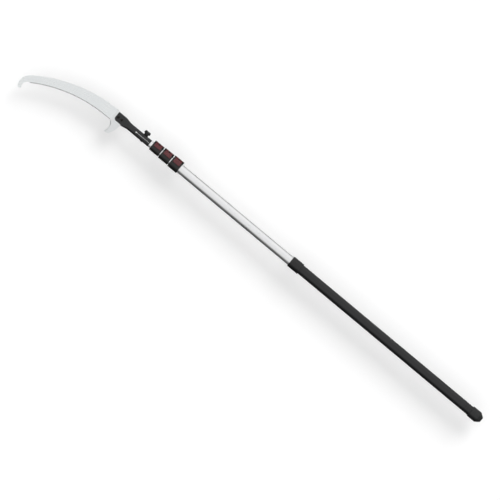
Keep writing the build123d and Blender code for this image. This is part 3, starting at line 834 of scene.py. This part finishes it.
@dataclass
class ClampCollar:
    """One split collar and its cam lever.

    Attributes:
        name: upper, middle or lower.
    """

    name: str
    slit: float = 2.5 * MM
    knuckle: float = 7.0 * MM
    boss: float = 4.0 * MM
    seat: float = 2.0 * MM  # how far the ears' knuckles reach into the shell
    ear_depth: float = 7.0 * MM
    ear_top: float = 4.9 * MM
    lip: float = 2.0 * MM
    lip_height: float = 1.6 * MM
    wall: float = 5.0 * MM
    edge: float = 0.9 * MM
    lever_gap: float = 0.3 * MM
    lever_clearance: float = 0.4 * MM
    lever_wall: float = 3.0 * MM
    lever_tip: float = -4.0 * MM
    lever_lip: float = 2.2 * MM
    lever_edge: float = 0.6 * MM
    fork: float = 6.0 * MM
    eye_gap: float = 0.5 * MM
    bore_clearance: float = 0.05 * MM
    ribs: int = 3
    rib_step: float = 2.4 * MM
    rib_radius: float = 0.55 * MM
    rib_edge: float = 0.2 * MM
    rib_inset: float = 2.0 * MM
    arc_steps: int = 72

    def __post_init__(self) -> None:
        """Reads the collar's place from the frame."""
        self.low, self.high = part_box(f"{self.name}_collar")
        self.pin = middle_of(f"{self.name}_lever_pin")
        self.pin_radius = (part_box(f"{self.name}_lever_pin")[1].y - self.pin.y) + self.bore_clearance
        self.half = self.high.z
        self.bore = self.half - self.wall
        middle = (self.low.x + self.high.x) / 2
        self.fork_start, self.fork_end = middle - self.fork / 2, middle + self.fork / 2

    def oval_arc(self, half: float, start: float, end: float) -> list[Vector]:
        """Returns points of an oval in the YZ plane, from one angle to another.

        Args:
            half: Half the oval's height.
            start: The first angle, in radians from +Y.
            end: The last angle.

        Returns:
            The points in order.
        """
        points = []
        for step in range(self.arc_steps + 1):
            angle = start + (end - start) * step / self.arc_steps
            side = math.copysign(FLAT / 2, math.cos(angle))
            points.append(Vector((half * math.cos(angle) + side, half * math.sin(angle))))
        return points

    def split_section(self, inner: float, outer: float) -> list[Vector]:
        """Returns the outline of a ring in the YZ plane, split on -Y as wide as the collar's slit.

        Args:
            inner: Half its bore's height.
            outer: Half its own height.
        """
        mouth_outer = math.pi - math.asin(self.slit / 2 / outer)
        mouth_inner = math.pi - math.asin(self.slit / 2 / inner)
        outside = self.oval_arc(outer, mouth_outer, -mouth_outer)
        return outside + self.oval_arc(inner, -mouth_inner, mouth_inner)

    def shell_section(self) -> list[Vector]:
        """Returns the collar's outline in the YZ plane, with its two ears."""
        tip = self.pin.y - self.boss
        over = math.pi - math.asin(self.ear_top / self.half)
        under = -math.pi + math.asin(self.ear_depth / self.half)
        mouth = math.pi - math.asin(self.slit / 2 / self.bore)
        front_ear = [Vector((tip, self.slit / 2)), Vector((tip, self.ear_top))]
        rear_ear = [Vector((tip, -self.ear_depth)), Vector((tip, -self.slit / 2))]
        outside = self.oval_arc(self.half, over, under)
        inside = self.oval_arc(self.bore, -mouth, mouth)
        return front_ear + outside + rear_ear + inside

    def slab(self, mesh: BMesh, section: Sequence[Vector], start: float, end: float, edge: float) -> None:
        """Adds a bar along X with a given section in the YZ plane, its two rims rounded.

        Args:
            mesh: The mesh that it goes into.
            section: The corners of its outline.
            start: Where it starts along X.
            end: Where it ends along X.
            edge: The rims' radius.
        """
        face = sheet_face(mesh, [Vector((start, point.x, point.y)) for point in section])
        rims = list(face.edges)
        rims += lift(mesh, face, Vector((end - start, 0.0, 0.0))).edges
        soften(mesh, rims, edge, 3)

    def shell(self) -> Object:
        """Returns the collar's shell with its ears and knuckles."""
        mesh = bmesh.new()
        start, end = self.low.x, self.high.x
        self.slab(mesh, self.shell_section(), start, end, self.edge)
        lip = self.split_section(self.bore - self.lip_height, self.bore + self.edge)
        self.slab(mesh, lip, end - self.lip, end - self.edge / 2, self.edge / 3)
        inner_y = self.pin.y + self.boss + self.seat
        for near, far in ((start, start + self.knuckle), (end - self.knuckle, end)):
            foot = Vector((near, self.pin.y - self.boss, self.slit / 2))
            block(mesh, foot, Vector((far, inner_y, self.pin.z)), self.edge / 2)
            eyelet(mesh, near, far, self.pin, self.pin_radius, self.boss)
        return settle(mesh, f"{self.name}_collar_shell")

    def lever_section(self) -> list[Vector]:
        """Returns the lever plate's outline in the YZ plane."""
        centre = Vector((-FLAT / 2, 0.0))
        inner = self.half + self.lever_clearance
        outer = inner + self.lever_wall
        tip_y = self.lever_tip - centre.x
        outside_from = math.pi - math.asin(self.pin.z / outer)
        outside_to = math.acos(tip_y / outer)
        inside_from = math.acos(tip_y / inner)
        inside_to = math.pi - math.asin(self.pin.z / inner)
        steps = self.arc_steps // 3
        outside = circle_points(centre, outer, outside_from, outside_to - outside_from, steps)
        return outside + circle_points(centre, inner, inside_from, inside_to - inside_from, steps)

    def hinge_room(self, start: float, end: float) -> list[Object]:
        """Returns the room of the hinge pin and of the eye bolt in a lever plate.

        Args:
            start: The X of the plate's one end.
            end: The X of its other end.

        Returns:
            The closed shapes to cut out of the plate.
        """
        low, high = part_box(f"{self.name}_eye_bolt")
        gap = self.eye_gap
        slot, bore = bmesh.new(), bmesh.new()
        near = Vector((self.fork_start, low.y - gap, low.z - gap))
        block(slot, near, Vector((self.fork_end, high.y + gap, high.z + gap)))
        pin_start, pin_end = (Vector((x, self.pin.y, self.pin.z)) for x in (start - gap, end + gap))
        rod(bore, pin_start, pin_end, self.pin_radius)
        return [settle(slot, f"{self.name}_eye_room"), settle(bore, f"{self.name}_pin_room")]

    def lever(self) -> Object:
        """Returns the cam lever: a curved plate, its finger lip, its ribs and its forked boss."""
        mesh = bmesh.new()
        start = self.low.x + self.knuckle + self.lever_gap
        end = self.high.x - self.knuckle - self.lever_gap
        self.slab(mesh, self.lever_section(), start, end, self.lever_edge)
        mesh = carve(settle(mesh, f"{self.name}_lever_blank"), self.hinge_room(start, end))
        inner = self.half + self.lever_clearance
        lip = Vector((0.0, self.lever_tip - self.lever_lip, inner + self.lever_lip))
        rod(mesh, lip + Vector((start, 0, 0)), lip + Vector((end, 0, 0)), self.lever_lip, self.lever_edge)
        for rib in range(self.ribs):
            angle = (self.lever_lip * 2 + (rib + 1) * self.rib_step) / inner + math.pi / 2
            reach = inner + self.lever_wall - self.rib_radius / 3
            middle = Vector((0.0, reach * math.cos(angle) - FLAT / 2, reach * math.sin(angle)))
            ends = (middle + Vector((x, 0, 0)) for x in (start + self.rib_inset, end - self.rib_inset))
            rod(mesh, *ends, self.rib_radius, self.rib_edge, 16)
        for near, far in ((start, self.fork_start), (self.fork_end, end)):
            eyelet(mesh, near, far, self.pin, self.pin_radius, self.boss)
        return settle(mesh, f"{self.name}_cam_lever")

    def build(self, workshop: Workshop) -> None:
        """Builds and dresses the collar and its lever."""
        workshop.fit(self.shell(), f"{self.name}_collar")
        workshop.fit(self.lever(), f"{self.name}_lever")


# --- Blade holder and knob ---


@dataclass
class HolderHead:
    """The pressed steel holder that clamps on the top tube, and its thumb knob."""

    wall: float = 1.8 * MM
    tube_run: float = 114.0 * MM
    press_run: float = 38.0 * MM
    press_steps: int = 14
    flat_height: float = 8.1 * MM
    lip: float = 0.5 * MM
    slit: float = 1.5 * MM
    slit_mouth: float = 0.7 * MM
    slit_run: float = 77.0 * MM
    slit_end: float = 3.0 * MM
    cut_depth: float = 40.0 * MM
    sickle_side: float = 18.8 * MM
    corner: float = 8.0 * MM
    bolt_hole: float = 4.1 * MM
    knob_height: float = 17.6 * MM
    neck: float = 10.5 * MM
    neck_height: float = 4.0 * MM
    head: float = 16.0 * MM
    head_top: float = 12.5 * MM
    flare: float = 2.0 * MM
    swell: float = 0.5 * MM
    side_radius: float = 20.0 * MM
    dish_outer: float = 0.66  # of the head's top radius
    dish_inner: float = 0.6
    neck_edge: float = 0.6 * MM
    shoulder_edge: float = 1.0 * MM
    top_edge: float = 1.5 * MM
    dish_edge: float = 0.4 * MM
    lobe_steps: int = 16
    scallops: int = 7
    scallop: float = 4.0 * MM
    insert: float = 6.0 * MM
    insert_height: float = 12.0 * MM
    bolt_room: float = 4.4 * MM
    bolt_height: float = 15.2 * MM
    dish: float = 1.1 * MM

    def stations(self) -> list[Station]:
        """Returns the holder's rings, out along its outside and back along its inside."""
        low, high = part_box("blade_holder")
        press_start = low.x + self.tube_run
        press_end = press_start + self.press_run
        flat_half = self.flat_height / 2
        flat_flat = 2 * (high.y - flat_half)
        outside = [Station(low.x, high.z - self.lip), Station(low.x + self.lip, high.z)]
        for step in range(self.press_steps + 1):
            share = step / self.press_steps
            eased = share * share * (3 - 2 * share)
            x = press_start + share * (press_end - press_start)
            half = high.z + eased * (flat_half - high.z)
            outside.append(Station(x, half, FLAT + eased * (flat_flat - FLAT)))
        outside.append(Station(high.x - self.lip, flat_half, flat_flat))
        outside.append(Station(high.x, flat_half - self.lip, flat_flat))
        inside = [Station(s.x, s.half - self.wall, s.flat) for s in outside[1:-1]]
        first = Station(low.x, inside[0].half + self.lip / 2)
        last = Station(high.x, inside[-1].half, flat_flat)
        return [*outside, last, *reversed(inside[:-1]), first]

    def cutters(self) -> list[Object]:
        """Returns what the slit, the holes and the sickle's side take out of the holder."""
        low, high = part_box("blade_holder")
        deep = self.cut_depth
        slit_x = low.x + self.slit_run
        knob = middle_of("knob_washer").x
        press_end = low.x + self.tube_run + self.press_run
        slit, slit_end, bolt, side, corner = (bmesh.new() for _ in range(5))
        mouth = Vector((low.x - deep / 4, -self.slit / 2, -deep))
        block(slit, mouth, Vector((slit_x, self.slit / 2, deep)))
        for vert in slit.verts:
            if vert.co.x < low.x:  # the clamp squeezes the slit's mouth nearly shut
                vert.co.y *= self.slit_mouth / self.slit
        rod(slit_end, Vector((slit_x, 0, -deep)), Vector((slit_x, 0, deep)), self.slit_end)
        rod(bolt, Vector((knob, -deep, 0)), Vector((knob, deep, 0)), self.bolt_hole)
        block(side, Vector((press_end, self.sickle_side, -deep)), Vector((high.x + deep, deep, deep)))
        turn = Matrix.Translation((high.x, self.sickle_side, 0.0)) @ Matrix.Rotation(math.pi / 4, 4, "Z")
        size = self.corner * math.sqrt(2)
        bmesh.ops.create_cube(corner, size=1.0, matrix=turn @ Matrix.Diagonal((size, 2 * size, deep, 1.0)))
        shapes = (slit, slit_end, bolt, bolt_holes(), side, corner)
        return [settle(shape, f"holder_cutter_{index}") for index, shape in enumerate(shapes)]

    def holder(self) -> Object:
        """Returns the pressed holder with its slit and holes."""
        mesh = bmesh.new()
        oval_body(mesh, self.stations(), closed=True)
        blank = settle(mesh, "holder_blank")
        return settle(carve(blank, self.cutters()), "pressed_blade_holder")

    def scalloped(self, radius: float, angle: float) -> float:
        """Returns a knob radius, cut back where a scallop's circle reaches it.

        Args:
            radius: The uncut radius.
            angle: Where on the knob, in radians round its axis.
        """
        pitch = math.tau / self.scallops
        off = (angle + pitch / 2) % pitch - pitch / 2
        distance = self.head + self.scallop / 2
        across = distance * math.sin(off)
        if abs(across) >= self.scallop:
            return radius
        return min(radius, distance * math.cos(off) - math.sqrt(self.scallop**2 - across**2))

    def knob(self) -> Object:
        """Returns the lobed knob: a profile spun round the bolt's axis, then scalloped."""
        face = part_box("knob_washer")[0].y
        axis_x = middle_of("knob_washer").x
        shoulder = self.neck_height + self.flare
        top = self.knob_height
        corners = [
            Corner(0.0, self.bolt_height),
            Corner(self.bolt_room, self.bolt_height),
            Corner(self.bolt_room, self.insert_height),
            Corner(self.insert, self.insert_height),
            Corner(self.insert, 0.0),
            Corner(self.neck, 0.0, self.neck_edge),
            Corner(self.neck, self.neck_height, self.shoulder_edge),
            Corner(self.head, shoulder, self.shoulder_edge),
            Corner((self.head + self.head_top) / 2 + self.swell, (shoulder + top) / 2, self.side_radius),
            Corner(self.head_top, top, self.top_edge),
            Corner(self.head_top * self.dish_outer, top, self.dish_edge),
            Corner(self.head_top * self.dish_inner, top - self.dish, self.dish_edge),
            Corner(0.0, top - self.dish),
        ]
        mesh = bmesh.new()
        places = [(axis_x + point.x, face - point.y, 0.0) for point in rounded(corners, closed=False)]
        verts = [bmesh.ops.create_vert(mesh, co=place)["vert"][0] for place in places]
        edges = [mesh.edges.new(pair) for pair in zip(verts, verts[1:])]
        bmesh.ops.spin(
            mesh, geom=verts + edges, cent=(axis_x, face, 0.0), axis=(0.0, -1.0, 0.0), angle=math.tau,
            steps=self.scallops * self.lobe_steps, use_merge=True, use_duplicate=False,
        )
        for vert in mesh.verts:
            out = Vector((vert.co.x - axis_x, vert.co.z))
            if out.length > self.neck and face - vert.co.y > self.neck_height:
                out *= self.scalloped(out.length, math.atan2(out.y, out.x)) / out.length
                vert.co.x, vert.co.z = axis_x + out.x, out.y
        return settle(mesh, "lobed_thumb_knob")

    def build(self, workshop: Workshop) -> None:
        """Builds and dresses the holder and the knob."""
        workshop.fit(self.holder(), "blade_holder")
        workshop.fit(self.knob(), "thumb_knob")


# --- Blade and sickle ---


@dataclass
class CuttingHead:
    """The curved saw blade and the sickle at its foot."""

    spine_radius: float = 655.0 * MM
    spine_sweep: float = math.radians(37.0)
    heel: float = math.radians(-2.1)
    teeth: int = 60
    pitch: float = 6.5 * MM
    depth: float = 4.0 * MM
    lean: float = 0.3
    ground: float = 0.3  # how far the ground side of a tooth reaches towards its point
    ground_back: float = 1.0
    neck_overlap: float = 1.0 * MM
    tang_run: float = 43.0 * MM
    tang_side: float = 17.5 * MM
    tang_lower: float = 15.5 * MM
    spine_edge: float = 0.35 * MM
    hook_gap: float = 2.0 * MM  # how far past the last tooth the hook's eased edge starts
    sickle_run: float = 38.0 * MM
    sickle_reach: float = 52.5 * MM
    sickle_spine: float = -23.2 * MM
    sickle_edge: float = 0.4 * MM
    sickle_ground: float = 3.4 * MM

    def __post_init__(self) -> None:
        """Reads where the blade stands from the frame."""
        self.low, self.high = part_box("blade")
        self.sickle_low, self.sickle_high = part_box("sickle")
        self.shoulder = Vector((self.sickle_high.x, self.low.y))
        self.holder_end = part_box("blade_holder")[1].x

    def on_edge(self, distance: float, depth: float = 0.0) -> Vector:
        """Returns a point on the toothed arc, or that depth inside the blade."""
        angle = self.heel + distance / EDGE_RADIUS
        return EDGE_CENTRE + (EDGE_RADIUS + depth) * Vector((math.sin(angle), -math.cos(angle)))

    def roots(self) -> list[Vector]:
        """Returns the gullets of the teeth, from the heel to the nose."""
        return [self.on_edge(tooth * self.pitch, self.depth) for tooth in range(self.teeth + 1)]

    def hook(self, start: Vector, last_root: Vector) -> list[Vector]:
        """Draws the nose hook's outline.

        Args:
            start: The end of the blade's back.
            last_root: The last gullet.

        Returns:
            The outline's points, from the one to the other.
        """

        def off(along: float, across: float) -> Vector:
            """Returns a place by millimetres along and across from the back's end."""
            return start + Vector((along, across)) * MM

        tip_start, tip_end, throat_start = off(14, 65), off(-3, 64), off(-3, 35)
        chord = tip_start - start
        normal = Vector((-math.sin(self.spine_sweep), math.cos(self.spine_sweep)))
        radius = chord.length_squared / 2 / chord.dot(normal)
        turn = 2 * math.asin(chord.length / 2 / radius)
        outer = circle_points(start + normal * radius, radius, self.spine_sweep - math.pi / 2, turn, 14)
        tip = arc_points(tip_start, off(5, 71.5), tip_end, 10)
        inner = arc_points(tip_end, off(1, 48), throat_start, 10)
        throat = arc_points(throat_start, off(-8, 29), last_root, 8)
        return outer + tip[1:] + inner[1:] + throat[1:]

    def blade(self) -> Object:
        """Returns the saw blade: a plate with an eased back, a hook, and teeth drawn out of its edge."""
        roots = self.roots()
        centre = self.shoulder + Vector((0.0, self.spine_radius))
        back = circle_points(centre, self.spine_radius, -math.pi / 2, self.spine_sweep, 48)
        hook = self.hook(back[-1], roots[-1])
        neck = self.holder_end + self.neck_overlap
        tail = self.holder_end - self.tang_run
        tang = [
            Vector((neck, self.tang_lower)),
            Vector((tail, self.tang_lower)),
            Vector((tail, -self.tang_side)),
            Vector((neck, -self.tang_side)),
            Vector((neck, self.shoulder.y)),
        ]
        outline = back + hook[1:] + roots[-2::-1] + tang
        mesh = bmesh.new()
        face = sheet_face(mesh, [Vector((*point, self.low.z)) for point in outline])
        lift(mesh, face, Vector((0.0, 0.0, self.high.z - self.low.z)))
        self.draw_teeth(mesh)
        self.ease_back(mesh)
        return self.drilled(mesh, "curved_saw_blade")

    def ease_back(self, mesh: BMesh) -> None:
        """Rounds both edges of the blade's back and hook.

        Args:
            mesh: The blade's plate.
        """
        flat = [edge for edge in mesh.edges if abs(edge.verts[0].co.z - edge.verts[1].co.z) < WELD]
        back = [edge for edge in flat if all(self.is_back(vert.co) for vert in edge.verts)]
        soften(mesh, back, self.spine_edge, 2)

    def drilled(self, mesh: BMesh, name: str) -> Object:
        """Returns a plate with the blade bolts' holes in it."""
        plate = settle(mesh, f"{name}_blank")
        return settle(carve(plate, [settle(bolt_holes(), f"{name}_drill")]), name)

    def is_back(self, place: Vector) -> bool:
        """Returns whether a place on the blade's outline is on its back or its hook.

        Args:
            place: The place, of which the height doesn't matter.
        """
        centre = self.shoulder + Vector((0.0, self.spine_radius))
        reach = (place.xy - centre).length
        past_back = place.x > self.shoulder.x and reach > self.spine_radius - WELD
        return past_back or place.x > self.on_edge(self.teeth * self.pitch).x + self.hook_gap

    def draw_teeth(self, mesh: BMesh) -> None:
        """Draws each tooth out of the plate's toothed edge and grinds its point to one face in turn.

        Args:
            mesh: The blade's plate.
        """
        inner = EDGE_RADIUS + self.depth

        def on_gullets(face: BMFace) -> bool:
            """Returns whether a face stands on the gullets' arc."""
            return all(abs((vert.co.xy - EDGE_CENTRE).length - inner) < WELD for vert in face.verts)

        strip = [face for face in mesh.faces if len(face.verts) == 4 and on_gullets(face)]
        tips = []
        for cap in bmesh.ops.extrude_discrete_faces(mesh, faces=strip)["faces"]:
            out = cap.calc_center_median().xy - EDGE_CENTRE
            along = (math.atan2(out.x, -out.y) - self.heel) * EDGE_RADIUS
            tooth = int(along // self.pitch)
            point = self.on_edge((tooth + self.lean) * self.pitch)
            root = self.on_edge((tooth + 0.5) * self.pitch, self.depth)
            for vert in cap.verts:
                upper = vert.co.z > (self.low.z + self.high.z) / 2
                ground = self.ground if upper == bool(tooth % 2) else self.ground_back
                vert.co = Vector((*root.lerp(point, ground), vert.co.z))
                tips.append(vert)
        bmesh.ops.remove_doubles(mesh, verts=tips, dist=WELD)

    def sickle(self) -> Object:
        """Returns the sickle with its ground inner edge."""

        def off(back: float, out: float) -> Vector:
            """Returns a place by millimetres back from the shoulder and out from the edge."""
            return Vector((self.shoulder.x - back * MM, EDGE_SIDE + out * MM))

        reach = self.sickle_reach / MM
        point, heel = off(11, reach), off(30, reach - 2.5)
        cutting = arc_points(off(0, 0), off(16.5, 28), point, 24)
        end = arc_points(point, off(17, reach + 1.5), heel, 8)
        root = Vector((self.holder_end - self.sickle_run, self.tang_lower))
        outer = arc_points(heel, off(43, 28), root, 24)
        neck = self.holder_end + self.neck_overlap
        foot = [
            Vector((root.x, -self.tang_side)),
            Vector((neck, -self.tang_side)),
            Vector((neck, self.sickle_spine)),
            Vector((self.shoulder.x, self.sickle_spine)),
        ]
        outline = cutting + end[1:] + outer[1:] + foot
        mesh = bmesh.new()
        face = sheet_face(mesh, [Vector((*p, self.sickle_low.z)) for p in outline])
        land = lift(mesh, face, Vector((0.0, 0.0, self.sickle_edge)))
        thickness = self.sickle_high.z - self.sickle_low.z
        top = lift(mesh, land, Vector((0.0, 0.0, thickness - self.sickle_edge)))
        edge_points = {(round(p.x / WELD), round(p.y / WELD)) for p in cutting}
        middle = len(cutting) - 1
        for vert in top.verts:
            if (round(vert.co.x / WELD), round(vert.co.y / WELD)) in edge_points:
                nearest = min(range(middle + 1), key=lambda i: (cutting[i] - vert.co.xy).length)
                ahead = cutting[min(nearest + 1, middle)] - cutting[max(nearest - 1, 0)]
                inward = Vector((-ahead.y, ahead.x)).normalized()
                share = math.sin(math.pi * (nearest / middle)) ** 0.5
                shift = inward * self.sickle_ground * share
                vert.co += Vector((shift.x, shift.y, 0.0))
        return self.drilled(mesh, "ground_sickle")

    def build(self, workshop: Workshop) -> None:
        """Builds and dresses the blade and the sickle."""
        workshop.fit(self.blade(), "blade")
        workshop.fit(self.sickle(), "sickle")


# --- Studio ---


class Lamp(NamedTuple):
    """A distant soft lamp: its strength, width, lean from overhead to -Y, and if it casts shadows."""

    name: str
    energy: float
    width: float
    lean: float
    casts: bool = True


@dataclass
class Studio:
    """The floor, the backdrop, the lights and the camera."""

    floor_drop: float = 72.0 * MM
    floor_half: float = 30.0
    dome_radius: float = 60.0
    lamps: tuple[Lamp, ...] = (
        Lamp("key", 1.7, 38.0, 53.0),
        Lamp("side", 0.32, 40.0, 22.0),
        Lamp("fill", 2.26, 120.0, 5.0, False),
    )
    sky_lean: float = math.radians(42.0)
    sky_dark: float = 0.1
    sky_falloff: float = 0.45
    view_width: float = 2.19
    lens: float = 200.0
    sensor: float = 36.0
    aim: tuple[float, float] = (1.2547, 0.0769)
    heading: float = math.radians(-140.17)

    def plain(self, name: str, sockets: dict[str, object]) -> Material:
        """Makes a material for the set.

        Args:
            name: Its name.
            sockets: Values for its shader's sockets, by their names.

        Returns:
            The material, which has no highlight.
        """
        made = bpy.data.materials.new(name)
        made.use_nodes = True
        shader = made.node_tree.nodes["Principled BSDF"]
        for socket, value in {"Specular IOR Level": 0.0, **sockets}.items():
            shader.inputs[socket].default_value = value
        return made

    def staged(self, mesh: BMesh, name: str, material: Material) -> Object:
        """Turns a mesh into a part of the set.

        Args:
            mesh: The mesh, which is freed.
            name: The part's name.
            material: Its material.

        Returns:
            The part.
        """
        data = bpy.data.meshes.new(name)
        mesh.to_mesh(data)
        mesh.free()
        data.materials.append(material)
        thing = bpy.data.objects.new(name, data)
        bpy.context.scene.collection.objects.link(thing)
        thing.visible_glossy = False
        return thing

    def floor(self) -> None:
        """Lays the pale floor a little below the saw, so that its shadow falls clear of it."""
        mesh = bmesh.new()
        place = Matrix.Translation((*self.aim, CAD_BOX[0].z - self.floor_drop))
        bmesh.ops.create_grid(mesh, x_segments=1, y_segments=1, size=self.floor_half, matrix=place)
        paper = self.plain("pale_paper", {"Base Color": linear("#F7F7F7"), "Roughness": 0.95})
        self.staged(mesh, "studio_floor", paper)

    def backdrop(self) -> None:
        """Hangs a pale dome that only the camera sees."""
        mesh = bmesh.new()
        bmesh.ops.create_uvsphere(mesh, u_segments=48, v_segments=24, radius=self.dome_radius)
        glow = {"Emission Color": linear("#FCFCFC"), "Emission Strength": 1.0}
        cloth = self.plain("pale_backdrop", {"Base Color": linear("#000000"), **glow})
        dome = self.staged(mesh, "studio_backdrop", cloth)
        dome.visible_diffuse = False
        dome.visible_shadow = False

    def sky(self) -> None:
        """Gives metal and gloss a bright softbox above and on the knob's side, and a dim far side."""
        world = bpy.data.worlds.new("soft_room")
        bpy.context.scene.world = world
        world.use_nodes = True
        tree = world.node_tree
        tree.nodes.clear()
        direction = add_node(tree, "ShaderNodeTexCoord").outputs["Generated"]
        towards = (0.0, -math.sin(self.sky_lean), math.cos(self.sky_lean))
        settings = {"operation": "DOT_PRODUCT", 1: towards}
        facing = add_node(tree, "ShaderNodeVectorMath", settings, {0: direction}).outputs["Value"]
        eased = calculate(tree, "POWER", ranged(tree, facing), self.sky_falloff)
        level = ranged(tree, eased, end=(self.sky_dark, 1.0))
        glow = add_node(tree, "ShaderNodeBackground", {"Color": linear("#FFFFFF")}, {"Strength": level})
        add_node(tree, "ShaderNodeOutputWorld", None, {"Surface": glow.outputs["Background"]})
        world.cycles_visibility.diffuse = False

    def lights(self) -> None:
        """Adds two soft lights on the knob's side, and an overhead fill."""
        for lamp in self.lamps:
            sun = bpy.data.lights.new(lamp.name, "SUN")
            sun.energy = lamp.energy
            sun.angle = math.radians(lamp.width)
            sun.use_shadow = lamp.casts
            light = bpy.data.objects.new(lamp.name, sun)
            light.matrix_world = Matrix.Rotation(math.radians(lamp.lean), 4, "X")
            light.visible_glossy = False
            bpy.context.scene.collection.objects.link(light)

    def camera(self) -> None:
        """Puts the camera straight above the saw, with a long lens."""
        lens = bpy.data.cameras.new("camera")
        lens.lens = self.lens
        lens.sensor_width = self.sensor
        lens.clip_end = 4 * self.dome_radius
        camera = bpy.data.objects.new("camera", lens)
        height = self.view_width * self.lens / self.sensor
        place = Matrix.Translation((*self.aim, height))
        camera.matrix_world = place @ Matrix.Rotation(self.heading, 4, "Z")
        bpy.context.scene.collection.objects.link(camera)
        bpy.context.scene.camera = camera

    def build(self) -> None:
        """Sets up the whole studio."""
        self.floor()
        self.backdrop()
        self.sky()
        self.lights()
        self.camera()
        bpy.context.scene.view_settings.view_transform = "Standard"


def main() -> None:
    logging.basicConfig(level=logging.INFO, format="%(message)s")
    Studio().build()
    workshop = Workshop()
    HandEnd().build(workshop)
    for name in ("lower", "middle", "upper"):
        ClampCollar(name).build(workshop)
    HolderHead().build(workshop)
    CuttingHead().build(workshop)
    workshop.dress_frame()


if __name__ == "__main__":
    main()
